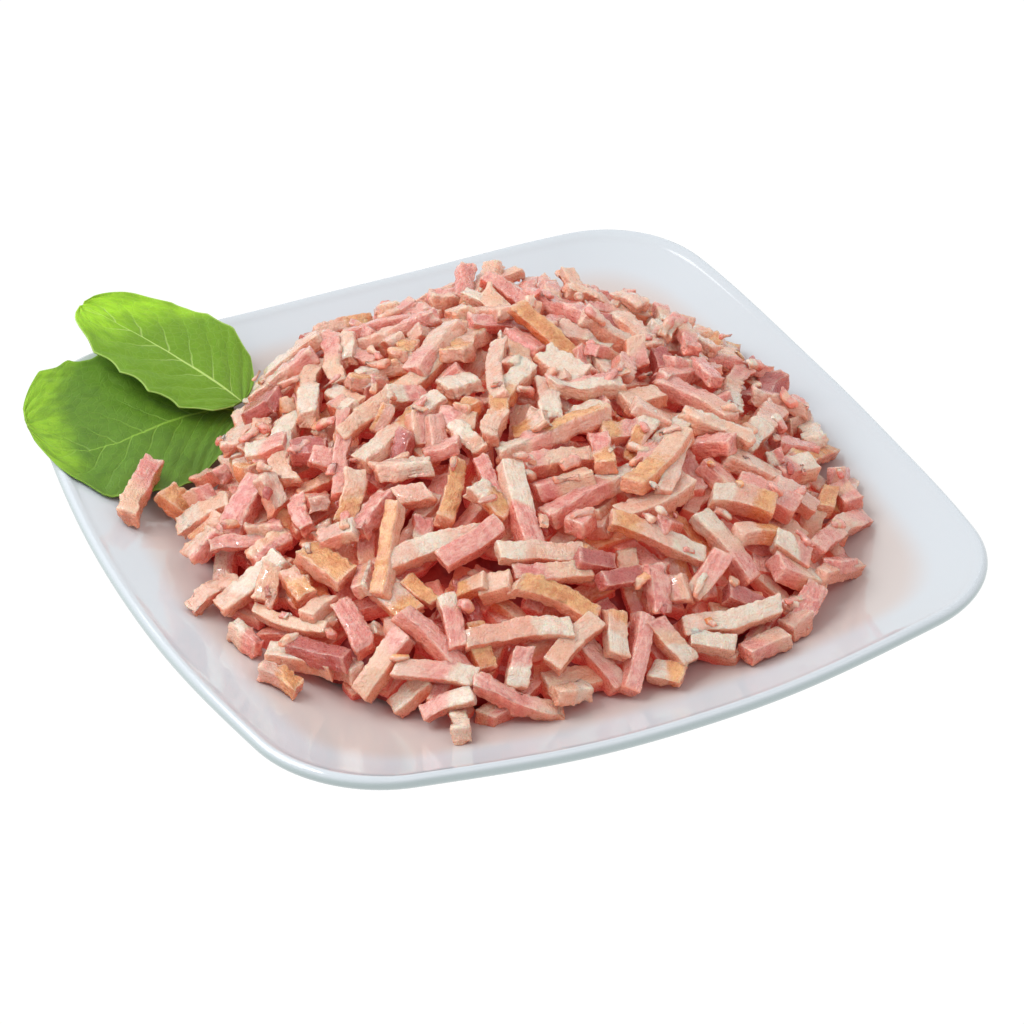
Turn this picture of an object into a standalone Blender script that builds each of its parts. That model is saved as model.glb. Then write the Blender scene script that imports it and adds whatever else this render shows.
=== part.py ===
"""Cooked bacon strips heaped on a square porcelain plate, with two salad leaves at one corner.

The origin is on the table under the middle of the plate, X and Y run along the plate's
sides and the leaves are at its -X +Y corner. Sizes are in millimetres until a mesh is made.
"""

import bmesh
import bpy
import numpy as np
from mathutils import Matrix, Vector

MM = 0.001
GAP = 0.35                # air kept between pieces that touch
PLATE_CLEAR = 0.55        # the same over the plate, where both faces are faceted

# Plate: a turned dish whose rings are drawn out to a rounded square
PLATE_HALF = 120.0        # half the plate's width across its sides
SIDE_RADIUS = 535.0       # bow of each side, seen from above
CORNER_RADIUS = 38.0
RIM_HEIGHT = 18.0         # top of the rim at the middle of a side
CORNER_LIFT = 4.9         # how much higher the four corners stand
LIFT_POWER = 3.1
WELL_HEIGHT = 5.0         # upper face of the flat middle
WELL_SHARE = 0.50         # where the wall starts to rise, as a share of the radius
WALL_POWER = 1.9
WALL = 3.6
RIM_THICK = 4.6
FOOT_IN, FOOT_OUT = 0.49, 0.53      # foot ring, as shares of the radius
FOOT_SLANT_IN, FOOT_SLANT_OUT = 1.5, 2.5
UNDER_OUTSET = 1.0        # the wall's underside lies this far out, as the wall slants
UPPER_SHARES = (0, 0.3, 0.5, 0.6, 0.7, 0.79, 0.87, 0.94)
UNDER_SHARES = (0.93, 0.85, 0.77, 0.69, 0.61)
RIM_TURN, RIM_POINTS = (0.35, -0.5), 5      # how far round the rim goes, in half turns
PLATE_STEPS = 56
CORNER_CROWDING = 0.55    # how much closer the steps stand at the corners

# Heap: a mound that slopes down to the plate all round
HEAP_CENTRE = (2.0, 2.0)
HEAP_HALF = 100.0
HEAP_SQUARE = 2.6         # 2 is a round footprint, more is squarer
HEAP_TOP = 51.0
HEAP_SLOPE = (2.2, 0.75)
FLANKS = (                # where the heap falls short of that footprint: the way, its reach, its slope
    ((-0.66, 0.75), 86.0, 15.0),        # by the leaves
    ((-0.35, 0.94), 92.0, 20.0),        # at the back
)
CORE_DEPTH = 9.5          # the solid core lies this far under the mound's surface
CORE_THIN = 0.5           # and is at least this thick
CORE_RINGS, CORE_STEPS = 7, 30
CLEARANCE_RINGS, CLEARANCE_STEPS = 20, 96

# Strips
SEED = 11
GRID = 1.5                # cell of the height map that the strips are laid on
SINK = 0.8                # how far a strip presses into what it lies on
NESTLE = 2.2              # how much further the random strips settle between their neighbours
STEEPEST = 0.85           # slope that a resting strip may take along its length
MOST_TILT = 0.45          # and across it
TILT_SHARE = 0.7          # how much of the slope of its bed a strip takes across
LENGTHS = (15.0, 24.0, 35.0)
SHORT_LENGTHS = (7.0, 11.0, 16.0)
WIDTHS = (4.4, 6.8)
THICKNESSES = (3.9, 5.8)
SEEN_WIDTH = 0.76         # a strip's width, as a share of the width seen with its side
BED_DEPTH = 14.0          # laying starts this far below the mound's surface
CROSSING = 3.0            # how far a strip that shows may be lifted over others
FREE_REACH = 13.0         # the last strips keep this far from those that show from the front
FOOTPRINT, END_FOOTPRINT = 0.97, 1.02       # random strips have their middles and ends inside these
JITTER = 2.0              # how far off a low place a strip may be laid
TRIES_AT_ONCE = 40        # strips laid between two looks for low places
HALF_STATIONS = 4         # points at which each half of a strip feels its bed
# Layers of random strips: how deep under the mound, how far over that a strip may rise, how many
# are tried and the share of short ones
UNDER_LAYER = (7.5, 1.5, 6000, 0.4)
BETWEEN_LAYER = (0.5, 4.0, 5000, 0.15)
LAST_LAYER = (2.0, 3.0, 4000, 0.8)
COINCIDENT = 0.001        # points of the joined heap closer than this are one
SHOWN_AREA = 42.0         # a strip with less than this to see from above is left out, mm2
SKEW, TAPER = 0.25, 0.12  # the most that a strip's ends are skewed, and its sides taper

# Strips that show from the front: both ends in plan and the width.
# Each lies along the mound's surface, and a later one lies over an earlier one.
SHOWN = (
    (-97, -46, -90, -57, 8), (-104, -11, -88, -7, 8), (-96, -24, -93, -36, 5),
    (-98, -16, -75, -16, 9), (-90, -24, -77, -47, 5), (-91, -38, -79, -56, 7),
    (-79, -23, -78, -34, 7), (-72, -20, -66, -37, 11), (-92, 40, -83, 31, 11),
    (-105, 33, -90, 51, 8), (-94, 26, -77, 16, 11), (-86, 3, -69, 14, 9),
    (-67, -1, -69, -14, 6), (-72, 29, -72, 17, 7), (-67, 34, -66, 20, 6),
    (-78, 43, -76, 27, 6), (-69, 38, -57, 53, 9), (-66, 8, -53, 34, 8),
    (-52, 24, -37, 52, 8), (-60, 16, -52, 9, 9), (-58, 7, -51, 2, 8),
    (-57, -12, -44, 16, 6), (-60, -21, -50, -8, 8), (-46, -12, -31, -17, 9),
    (-47, -4, -15, 9, 8), (-39, 34, -36, 20, 7), (-34, 38, -31, 24, 5),
    (-30, 34, -13, 34, 7), (-38, 14, -6, 27, 8), (-13, 12, -3, 11, 11),
    (-5, 22, 17, 45, 9), (13, 12, 17, 31, 9), (22, 18, 27, 1, 10),
    (36, 34, 45, 16, 8), (40, 12, 37, -2, 8), (-20, 0, -12, -8, 9),
    (-19, -7, -16, -19, 7), (-15, -18, 12, 9, 8), (9, -15, 16, 2, 8),
    (33, -13, 47, -11, 9), (37, -4, 44, 6, 8), (-59, -27, -45, -20, 8),
    (-45, -24, -36, -27, 8), (-18, -22, -20, -37, 6), (-27, -34, -21, -45, 9),
    (-37, -38, -23, -19, 7), (-70, -41, -70, -59, 8), (-60, -45, -56, -58, 11),
    (-57, -42, -28, -46, 8), (-44, -51, -24, -48, 8), (-10, -48, 22, -42, 7),
    (-9, -39, 8, -41, 7), (-8, -30, 13, -31, 7), (18, -28, 12, -41, 8),
    (19, -25, 38, -25, 9), (-12, -23, 24, -20, 6), (-5, -56, 1, -52, 8),
    (24, -41, 53, -20, 8), (52, -4, 62, -27, 10), (60, -36, 88, -10, 9),
    (67, -16, 88, 14, 7), (66, 4, 77, 24, 8), (80, -36, 101, -19, 10),
    (69, -42, 83, -40, 9), (52, -38, 68, -47, 9), (44, -40, 51, -56, 8),
    (66, -69, 93, -53, 8), (62, -50, 75, -58, 9), (86, 20, 101, 40, 8),
    (50, -49, 66, -60, 9), (40, -53, 58, -60, 9), (10, -56, 36, -49, 9),
    (-13, -29, -19, -57, 8), (-30, -57, -5, -62, 8), (-28, -63, -6, -68, 7),
    (-78, -68, -58, -61, 8), (-60, -57, -49, -79, 7), (-46, -58, -50, -74, 7),
    (-42, -66, -44, -80, 7), (-37, -61, -29, -66, 8), (-10, -66, 2, -67, 7),
    (-6, -73, 8, -71, 7), (4, -57, 30, -71, 8), (12, -70, 8, -84, 8),
    (19, -80, 34, -73, 8), (34, -56, 41, -80, 9), (41, -67, 57, -66, 7),
    (48, -76, 64, -80, 9), (52, -68, 62, -75, 8), (-30, -66, -8, -78, 8),
    (-47, -72, -18, -80, 8), (-32, -79, -40, -88, 8), (-66, -68, -48, -82, 8),
    (-64, -80, -50, -86, 7), (-60, -96, -54, -84, 6), (-51, -83, -27, -96, 7),
    (-28, -87, -10, -79, 8), (-4, -78, -9, -90, 8), (-30, -93, -18, -93, 8),
    (5, -80, -9, -98, 6), (5, -82, 12, -96, 8), (1, -92, 8, -98, 9),
    (30, -80, 43, -88, 7), (14, -86, 44, -90, 8), (14, -90, 26, -94, 7),
    (28, -97, 42, -95, 9), (48, -92, 60, -82, 9), (44, -93, 52, -90, 8),
)

# Leaves: middle rib from base over a middle point to the tip, then the blade about it
LEAF_ROWS, LEAF_COLUMNS = 12, 12
LEAF_THICK = 0.8
LEAF_CLEAR = 0.9          # the lower leaf stays this far above the plate
LEAF_SAMPLES = 60         # points each way at which the heap feels a leaf
LEAF_END = 0.06           # width of a leaf at its ends, as a share of its middle's
WAVE_SHIFT = 1.3          # how far the waves of a leaf's two sides are out of step
LOWER_LEAF = dict(base=(-55, 71, 15.5), middle=(-84, 71, 20), tip=(-118.5, 79, 24.5), half_width=31.0,
                  widest=0.60, blunt=0.50, lean=0.21, cup=0.01, wave=1.2, waves=2.2, phase=0.4)
UPPER_LEAF = dict(base=(-53, 70, 19.5), middle=(-62, 89, 26), tip=(-86, 116, 36.5), half_width=24.0,
                  widest=0.50, blunt=0.50, lean=-0.03, cup=0.05, wave=1.0, waves=1.8, phase=1.9)


def rim_radius(angle):
    """Plan radius of the rounded square that the rim follows."""
    spread = SIDE_RADIUS - CORNER_RADIUS
    side_centre = PLATE_HALF - SIDE_RADIUS
    corner_centre = (side_centre + np.sqrt(2*spread**2 - side_centre**2))/2
    join = np.arctan2(corner_centre/spread*SIDE_RADIUS,
                      side_centre + (corner_centre - side_centre)/spread*SIDE_RADIUS)
    turn = np.abs((angle + np.pi/4) % (np.pi/2) - np.pi/4)
    along = side_centre*np.cos(turn)
    side = along + np.sqrt(along**2 - side_centre**2 + SIDE_RADIUS**2)
    along = corner_centre*(np.cos(turn) + np.sin(turn))
    corner = along + np.sqrt(np.maximum(along**2 - 2*corner_centre**2 + CORNER_RADIUS**2, 0))
    return np.where(turn <= join, side, corner)


def corner_lift(angle):
    return CORNER_LIFT*np.abs(np.sin(2*angle))**LIFT_POWER


def wall_rise(share):
    """How far up the wall a ring lies, from 0 in the well to 1 at the rim."""
    return np.clip((share - WELL_SHARE)/(1 - WELL_SHARE), 0, None)**WALL_POWER


def plate_top(x, y):
    """Height of the plate's upper face."""
    angle = np.arctan2(y, x)
    share = np.hypot(x, y)/rim_radius(angle)
    return WELL_HEIGHT + (RIM_HEIGHT + corner_lift(angle) - WELL_HEIGHT)*wall_rise(share)


def mound(x, y):
    """Height of the heap's outer surface, and how far out of the footprint a point lies."""
    across = (np.abs(x - HEAP_CENTRE[0])/HEAP_HALF)**HEAP_SQUARE
    along = (np.abs(y - HEAP_CENTRE[1])/HEAP_HALF)**HEAP_SQUARE
    out = (across + along)**(1/HEAP_SQUARE)
    power, round_power = HEAP_SLOPE
    rise = np.clip(1 - out**power, 0, 1)**round_power
    room = 1.0
    for way, reach, slope in FLANKS:
        room = np.minimum(room, np.clip((reach - x*way[0] - y*way[1])/slope, 0, 1))
    base = plate_top(x, y)
    return base + (HEAP_TOP - base)*rise*np.sqrt(room), np.where(room > 0, out, 2)


def leaf_point(leaf, along, across, above=0.0):
    """A point of a leaf: along runs from base to tip, across from -1 to 1."""
    base, middle, tip = (np.array(leaf[name], float) for name in ("base", "middle", "tip"))
    rib = base*(1 - along)**2 + 2*middle*along*(1 - along) + tip*along**2
    axis = tip - base
    side = np.array((axis[1], -axis[0], 0.0))/np.hypot(axis[0], axis[1])
    side[2] = leaf["lean"]
    shape = np.sin(np.pi*min(along, 1)**(np.log(0.5)/np.log(leaf["widest"])))
    half = leaf["half_width"]*(LEAF_END + (1 - LEAF_END)*max(shape, 0)**leaf["blunt"])
    point = rib + side*half*across
    wave = leaf["wave"]*np.sin(2*np.pi*leaf["waves"]*along + leaf["phase"] + (across > 0)*WAVE_SHIFT)
    point[2] += leaf["cup"]*half*across**2 + wave*across**2
    point[2] = max(point[2], plate_top(point[0], point[1]) + LEAF_CLEAR) + above
    return point


class Pile:
    """Strips laid one after another on a height map."""

    def __init__(self):
        self.random = np.random.default_rng(SEED)
        cells = int(2*PLATE_HALF/GRID) + 1
        self.ticks = np.linspace(-PLATE_HALF, PLATE_HALF, cells)
        self.x, self.y = np.meshgrid(self.ticks, self.ticks, indexing="ij")
        self.target, self.out = mound(self.x, self.y)
        self.floor = plate_top(self.x, self.y) + PLATE_CLEAR
        for leaf in (LOWER_LEAF, UPPER_LEAF):
            self.raise_over_leaf(leaf)
        deep = np.where(self.out < 1, self.target - BED_DEPTH, self.floor)
        self.height = np.maximum(self.floor, deep)
        self.owner = np.full(self.x.shape, -1)
        self.free = np.ones(self.x.shape, bool)
        self.strips = []

    def raise_over_leaf(self, leaf):
        for along in np.linspace(0, 1, LEAF_SAMPLES):
            for across in np.linspace(-1, 1, LEAF_SAMPLES):
                point = leaf_point(leaf, along, across, LEAF_THICK)
                i, j = self.cell(point[0], point[1])
                self.floor[i, j] = max(self.floor[i, j], point[2])

    def cell(self, x, y):
        last = len(self.ticks) - 1
        i = np.clip(np.rint((np.asarray(x) + PLATE_HALF)/GRID), 0, last).astype(int)
        j = np.clip(np.rint((np.asarray(y) + PLATE_HALF)/GRID), 0, last).astype(int)
        return i, j

    def rest(self, ground_map, x, y, heading, length, width):
        """Height and slopes of a strip's underside where it comes to rest on a height map."""
        stations = np.linspace(-0.5, 0.5, 2*HALF_STATIONS + 1)*length
        sides = np.array((-0.5, 0.0, 0.5))*width
        ahead = np.array((np.cos(heading), np.sin(heading)))
        px = x + ahead[0]*stations[:, None] - ahead[1]*sides[None, :]
        py = y + ahead[1]*stations[:, None] + ahead[0]*sides[None, :]
        ground = ground_map[self.cell(px, py)]
        tilt = TILT_SHARE*(ground[:, 2].mean() - ground[:, 0].mean())/width
        tilt = np.clip(tilt, -MOST_TILT, MOST_TILT)
        line = (ground - tilt*sides[None, :]).max(axis=1)
        behind, before = line[:HALF_STATIONS], line[-HALF_STATIONS:]
        gap = stations[-HALF_STATIONS:][None, :] - stations[:HALF_STATIONS][:, None]
        slope = (before[None, :] - behind[:, None])/gap
        middle = behind[:, None] - slope*stations[:HALF_STATIONS][:, None]
        a, b = np.unravel_index(middle.argmax(), middle.shape)
        pitch = np.clip(slope[a, b], -STEEPEST, STEEPEST)
        base = (line - pitch*stations).max()
        return base - SINK, pitch, tilt

    def lay(self, x, y, heading, length, width, thick, base, pitch, tilt):
        """Add a strip and raise the height map under it."""
        ahead = np.array((np.cos(heading), np.sin(heading)))
        reach = np.hypot(length, width)/2
        near = np.hypot(self.x - x, self.y - y) < reach
        s = (self.x - x)*ahead[0] + (self.y - y)*ahead[1]
        t = (self.y - y)*ahead[0] - (self.x - x)*ahead[1]
        inside = near & (np.abs(s) < length/2) & (np.abs(t) < width/2)
        top = base + pitch*s + tilt*t + thick*np.sqrt(1 + pitch**2)
        higher = inside & (top > self.height)
        self.height[higher] = top[higher]
        self.owner[higher] = len(self.strips)
        self.strips.append((x, y, heading, length, width, thick, base, pitch, tilt))

    def draw_size(self, short_share):
        short = self.random.random() < short_share
        length = self.random.triangular(*(SHORT_LENGTHS if short else LENGTHS))
        return length, self.random.uniform(*WIDTHS), self.random.uniform(*THICKNESSES)

    def fill(self, below, proud, tries, short_share):
        """Lay random strips wherever the heap is still lower than the mound by the given depth."""
        low = []
        for count in range(tries):
            if count % TRIES_AT_ONCE == 0:
                lack = self.target - below - self.height
                low = np.argwhere((lack > proud) & (self.out < FOOTPRINT) & self.free)
            if len(low) == 0:
                break
            i, j = low[self.random.integers(len(low))]
            x = self.x[i, j] + self.random.uniform(-JITTER, JITTER)
            y = self.y[i, j] + self.random.uniform(-JITTER, JITTER)
            heading = self.random.uniform(0, np.pi)
            length, width, thick = self.draw_size(short_share)
            half = length/2*np.array((np.cos(heading), np.sin(heading)))
            ends = self.out[self.cell((x - half[0], x + half[0]), (y - half[1], y + half[1]))]
            base, pitch, tilt = self.rest(self.height, x, y, heading, length, width)
            floor = self.rest(self.floor, x, y, heading, length, width)[0] + SINK
            base = max(base - NESTLE, floor)
            limit = self.target[i, j] - below + proud
            if base + thick < limit and ends.max() < END_FOOTPRINT:
                self.lay(x, y, heading, length, width, thick, base, pitch, tilt)

    def lay_shown(self):
        """Lay the strips that show from the front, along the mound's surface."""
        for x1, y1, x2, y2, seen_width in SHOWN:
            x, y = (x1 + x2)/2, (y1 + y2)/2
            width = SEEN_WIDTH*seen_width
            length = np.hypot(x2 - x1, y2 - y1)
            heading = np.arctan2(y2 - y1, x2 - x1)
            thick = self.random.uniform(*THICKNESSES)
            rest, rest_pitch, rest_tilt = self.rest(self.height, x, y, heading, length, width)
            middle, first, last = (mound(*at)[0] for at in ((x, y), (x1, y1), (x2, y2)))
            pitch = np.clip((last - first)/length, -STEEPEST, STEEPEST)
            base = (middle + (first + last)/2)/2 - thick*np.sqrt(1 + pitch**2)
            if base < rest:
                base, pitch = min(rest, base + CROSSING), (pitch + rest_pitch)/2
            floor, floor_pitch, floor_tilt = self.rest(self.floor, x, y, heading, length, width)
            if base < floor + SINK:
                base, pitch, rest_tilt = floor + SINK, floor_pitch, floor_tilt
            self.lay(x, y, heading, length, width, thick, base, pitch, rest_tilt)
            self.free &= np.hypot(self.x - x, self.y - y) > FREE_REACH

    def shown_areas(self):
        owners = self.owner[self.owner >= 0]
        return np.bincount(owners, minlength=len(self.strips))*GRID**2


def build_pile():
    pile = Pile()
    pile.fill(*UNDER_LAYER)
    pile.lay_shown()
    pile.fill(*BETWEEN_LAYER)
    pile.free[:] = True
    pile.fill(*LAST_LAYER)
    return pile


def new_collection(name):
    collection = bpy.data.collections.new(name)
    bpy.context.scene.collection.children.link(collection)
    return collection


def new_object(name, mesh, collection):
    obj = bpy.data.objects.new(name, mesh)
    collection.objects.link(obj)
    return obj


def mesh_from(bm, name):
    mesh = bpy.data.meshes.new(name)
    bm.to_mesh(mesh)
    bm.free()
    return mesh


def plain_material(name, colour, roughness):
    material = bpy.data.materials.new(name)
    material.use_nodes = True
    shader = material.node_tree.nodes["Principled BSDF"]
    shader.inputs["Base Color"].default_value = (*colour, 1.0)
    shader.inputs["Roughness"].default_value = roughness
    shader.inputs["Metallic"].default_value = 0.0
    return material


def apply_modifiers(obj):
    """Replace an object's mesh by its evaluated one."""
    evaluated = obj.evaluated_get(bpy.context.evaluated_depsgraph_get())
    mesh = bpy.data.meshes.new_from_object(evaluated)
    obj.modifiers.clear()
    obj.data = mesh


def plate_profile():
    """The dish's profile from the middle of its upper face round to the middle of its underside."""
    rise = RIM_HEIGHT - WELL_HEIGHT

    def wall_height(share):
        return WELL_HEIGHT + rise*float(wall_rise(share))

    points = [(share*PLATE_HALF, wall_height(share)) for share in UPPER_SHARES]
    lip = PLATE_HALF - RIM_THICK/2
    for turn in np.linspace(*RIM_TURN, RIM_POINTS)*np.pi:
        points.append((lip + RIM_THICK/2*np.cos(turn), RIM_HEIGHT - RIM_THICK/2*(1 - np.sin(turn))))
    for share in UNDER_SHARES:
        points.append((share*PLATE_HALF + UNDER_OUTSET, wall_height(share) - WALL))
    foot_in, foot_out = FOOT_IN*PLATE_HALF, FOOT_OUT*PLATE_HALF
    recess = WELL_HEIGHT - WALL
    points += [(foot_out + FOOT_SLANT_OUT, recess), (foot_out, 0)]
    points += [(foot_in, 0), (foot_in - FOOT_SLANT_IN, recess), (0, recess)]
    return points


def turned(name, points, steps, collection):
    """A profile turned about Z into a closed solid, as plain mesh."""
    bm = bmesh.new()
    verts = [bm.verts.new((x, 0, z)) for x, z in points]
    for a, b in zip(verts, verts[1:]):
        bm.edges.new((a, b))
    obj = new_object(name, mesh_from(bm, name), collection)
    screw = obj.modifiers.new("turn", "SCREW")
    screw.steps = steps
    screw.render_steps = steps
    screw.use_merge_vertices = True
    screw.merge_threshold = 0.00001
    apply_modifiers(obj)
    return obj


def make_plate(collection):
    plate = turned("plate", plate_profile(), PLATE_STEPS, collection)
    for vertex in plate.data.vertices:
        x, y, z = vertex.co
        angle = np.arctan2(y, x)
        share = np.hypot(x, y)/PLATE_HALF
        angle += CORNER_CROWDING/4*np.sin(4*angle)
        radius = share*rim_radius(angle)
        z += corner_lift(angle)*wall_rise(share)
        vertex.co = Vector((radius*np.cos(angle), radius*np.sin(angle), z))*MM
    plate.data.shade_smooth()
    plate.data.materials.append(plain_material("porcelain", (0.75, 0.77, 0.81), 0.15))
    return plate


def lens(name, top, floor, reach, rings, steps, collection):
    """A closed solid between two height functions that meet at a given plan radius."""
    shares = np.linspace(0, 1, rings + 1)
    points = [(share, 1) for share in shares[:-1]] + [(1, 0)] + [(share, -1) for share in shares[-2::-1]]
    obj = turned(name, points, steps, collection)
    for vertex in obj.data.vertices:
        side = round(vertex.co.z)
        radius = reach(np.arctan2(vertex.co.y, vertex.co.x))
        x, y = vertex.co.x*radius, vertex.co.y*radius
        heights = {1: top(x, y), 0: (top(x, y) + floor(x, y))/2, -1: floor(x, y)}
        vertex.co = Vector((x, y, heights[side]))*MM
    return obj


def leaf_sheet(name, leaf, collection, thick, material=None):
    """A wavy sheet of triangles along the leaf's middle, thickened to both sides."""
    bm = bmesh.new()
    bmesh.ops.create_grid(bm, x_segments=LEAF_ROWS, y_segments=LEAF_COLUMNS, size=1)
    for vertex in bm.verts:
        along, across = (vertex.co.x + 1)/2, vertex.co.y
        vertex.co = Vector(leaf_point(leaf, along, across, LEAF_THICK/2))*MM
    bmesh.ops.triangulate(bm, faces=bm.faces)
    sheet = new_object(name, mesh_from(bm, name), collection)
    solid = sheet.modifiers.new("thickness", "SOLIDIFY")
    solid.thickness = thick*MM
    solid.offset = 0
    if material:
        sheet.data.materials.append(material)
    return sheet


def strip_matrix(strip):
    """Where a strip's middle lies and how it is turned."""
    x, y, heading, length, width, thick, base, pitch, tilt = strip
    ahead = Vector((np.cos(heading), np.sin(heading), pitch)).normalized()
    left = Vector((-np.sin(heading), np.cos(heading), tilt))
    left = (left - ahead*left.dot(ahead)).normalized()
    up = ahead.cross(left)
    matrix = Matrix((ahead, left, up)).transposed().to_4x4()
    matrix.translation = Vector((x, y, base + thick/2*np.sqrt(1 + pitch**2)))
    return matrix


def add_strip(index, strip, random, collection):
    """One strip: a bar with slightly skewed ends and uneven sides."""
    length, width, thick = strip[3:6]
    bm = bmesh.new()
    bmesh.ops.create_cube(bm, size=1)
    skew, taper = random.uniform(-SKEW, SKEW), random.uniform(-TAPER, TAPER)
    for vertex in bm.verts:
        x, y, z = vertex.co
        vertex.co = ((x + skew*y*width/length)*length, y*(1 + taper*x)*width, z*(1 - taper*x)*thick)
    matrix = strip_matrix(strip)
    bmesh.ops.transform(bm, matrix=Matrix.Scale(MM, 4) @ matrix, verts=bm.verts)
    new_object("strip_%03d" % index, mesh_from(bm, "strip"), collection)


def core_floor(x, y):
    return plate_top(x, y) + PLATE_CLEAR


def core_top(x, y):
    return max(mound(x, y)[0] - CORE_DEPTH, core_floor(x, y) + CORE_THIN)


def core_reach(angle):
    """How far out the core goes: to where it would come down to the plate."""
    for radius in np.arange(PLATE_HALF, 0, -1):
        x, y = radius*np.cos(angle), radius*np.sin(angle)
        if mound(x, y)[0] - CORE_DEPTH > core_floor(x, y) + 2*CORE_THIN:
            return radius


def make_heap(collection):
    """The strips that show, joined to a core, and cut clear of the plate and the leaves."""
    pile = build_pile()
    areas = pile.shown_areas()
    random = np.random.default_rng(SEED + 1)
    strips = new_collection("strips")
    for index, strip in enumerate(pile.strips):
        if areas[index] > SHOWN_AREA:
            add_strip(index, strip, random, strips)
    heap = lens("bacon_heap", core_top, core_floor, core_reach, CORE_RINGS, CORE_STEPS, collection)
    clear = new_collection("clearances")
    lens("plate_clearance", core_floor, lambda x, y: -PLATE_HALF,
         lambda angle: float(rim_radius(angle)), CLEARANCE_RINGS, CLEARANCE_STEPS, clear)
    leaf_sheet("lower_clearance", LOWER_LEAF, clear, LEAF_THICK + 2*GAP)
    leaf_sheet("upper_clearance", UPPER_LEAF, clear, LEAF_THICK + 2*GAP)
    for cutter in clear.objects:
        apply_modifiers(cutter)
    for name, operation, operand in (("strips", "UNION", strips), ("clearance", "DIFFERENCE", clear)):
        boolean = heap.modifiers.new(name, "BOOLEAN")
        boolean.operation = operation
        boolean.operand_type = "COLLECTION"
        boolean.collection = operand
        boolean.solver = "MANIFOLD"
    apply_modifiers(heap)
    for operand in (strips, clear):
        for obj in list(operand.objects):
            bpy.data.objects.remove(obj, do_unlink=True)
        bpy.data.collections.remove(operand)
    keep_largest(heap)
    heap.data.materials.clear()
    heap.data.materials.append(plain_material("cooked_bacon", (0.72, 0.33, 0.24), 0.5))
    return heap


def keep_largest(obj):
    """Merge points that all but coincide, and drop the flaps and loose scraps that are left."""
    bm = bmesh.new()
    bm.from_mesh(obj.data)
    bmesh.ops.triangulate(bm, faces=bm.faces)
    bmesh.ops.remove_doubles(bm, verts=bm.verts, dist=COINCIDENT*MM)
    flaps = [face for face in bm.faces if any(edge.is_boundary for edge in face.edges)]
    bmesh.ops.delete(bm, geom=flaps, context="FACES")
    left = set(bm.verts)
    pieces = []
    while left:
        piece, front = set(), [left.pop()]
        while front:
            vertex = front.pop()
            piece.add(vertex)
            for edge in vertex.link_edges:
                other = edge.other_vert(vertex)
                if other in left:
                    left.remove(other)
                    front.append(other)
        pieces.append(piece)
    pieces.sort(key=len)
    scraps = [vertex for piece in pieces[:-1] for vertex in piece]
    bmesh.ops.delete(bm, geom=scraps, context="VERTS")
    obj.data = mesh_from(bm, obj.name)


def main():
    for obj in list(bpy.data.objects):
        bpy.data.objects.remove(obj, do_unlink=True)
    parts = new_collection("plate_of_bacon_strips")
    make_plate(parts)
    green = plain_material("lower_leaf_green", (0.10, 0.26, 0.03), 0.45)
    bright = plain_material("upper_leaf_green", (0.36, 0.64, 0.07), 0.45)
    leaf_sheet("leaf_lower", LOWER_LEAF, parts, LEAF_THICK, green)
    leaf_sheet("leaf_upper", UPPER_LEAF, parts, LEAF_THICK, bright)
    make_heap(parts)


main()
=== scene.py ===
"""Looks of cooked bacon strips heaped on a square porcelain plate with two salad leaves.

The strips are laid by the same seeded rules as in the part's source, so each one that the
solids hold is shown in its place, with its own cut edges, layers of fat and lean, and browning.
Sizes are in millimetres until a mesh is made.
"""

import math

import bpy
import numpy as np
from mathutils import Matrix, Vector


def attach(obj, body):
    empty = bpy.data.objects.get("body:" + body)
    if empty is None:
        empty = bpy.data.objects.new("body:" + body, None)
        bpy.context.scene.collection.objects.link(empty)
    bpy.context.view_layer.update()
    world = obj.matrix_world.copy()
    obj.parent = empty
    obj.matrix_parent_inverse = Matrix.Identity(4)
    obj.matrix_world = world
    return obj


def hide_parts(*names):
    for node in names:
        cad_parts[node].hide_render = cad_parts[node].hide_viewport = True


MM = 0.001
PLATE_CLEAR = 0.55

# Plate
PLATE_HALF = 120.0
SIDE_RADIUS = 535.0
CORNER_RADIUS = 38.0
RIM_HEIGHT = 18.0
CORNER_LIFT = 4.9
LIFT_POWER = 3.1
WELL_HEIGHT = 5.0
WELL_SHARE = 0.50
WALL_POWER = 1.9
WALL = 3.6
RIM_THICK = 4.6
RECESS = WELL_HEIGHT - WALL
# Rings of the profile: first share, last share and count, for the lip in turns of pi
WELL_RINGS, WALL_RINGS, LIP_RINGS = (0.0, 0.48, 9), (0.5, 0.97, 32), (0.42, -0.5, 16)
UNDER_RINGS, RECESS_RINGS = (0.95, 0.57, 22), (0.4, 0.0, 5)
UNDER_OUT = 1.0
# The foot ring's walls, and the points round their corners: how far out and how high
FOOT_IN, FOOT_OUT = 0.49, 0.53
OUTER_FOOT = ((1.2, 0.9*RECESS), (0.5, 0.4), (-0.3, 0.05), (-0.8, 0.0))
INNER_FOOT = ((0.6, 0.0), (0.0, 0.3), (-0.6, 0.7*RECESS), (-2.0, RECESS))
PLATE_STEPS = 256
CORNER_CROWDING = 0.35

# Heap
HEAP_CENTRE = (2.0, 2.0)
HEAP_HALF = 100.0
HEAP_SQUARE = 2.6
HEAP_TOP = 51.0
HEAP_SLOPE = (2.2, 0.75)
FLANKS = (((-0.66, 0.75), 86.0, 15.0), ((-0.35, 0.94), 92.0, 20.0))
CORE_DEPTH = 11.5
CORE_RINGS, CORE_STEPS = 32, 96
CORE_SEARCH = 1.2*HEAP_HALF
CORE_STEP = 1.0
CORE_THIN, CORE_THINNEST = 1.0, 0.2
CORE_LUMPS = (1.2, 6.0, 0.5)  # height, wavelength and the most of the noise that counts

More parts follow.
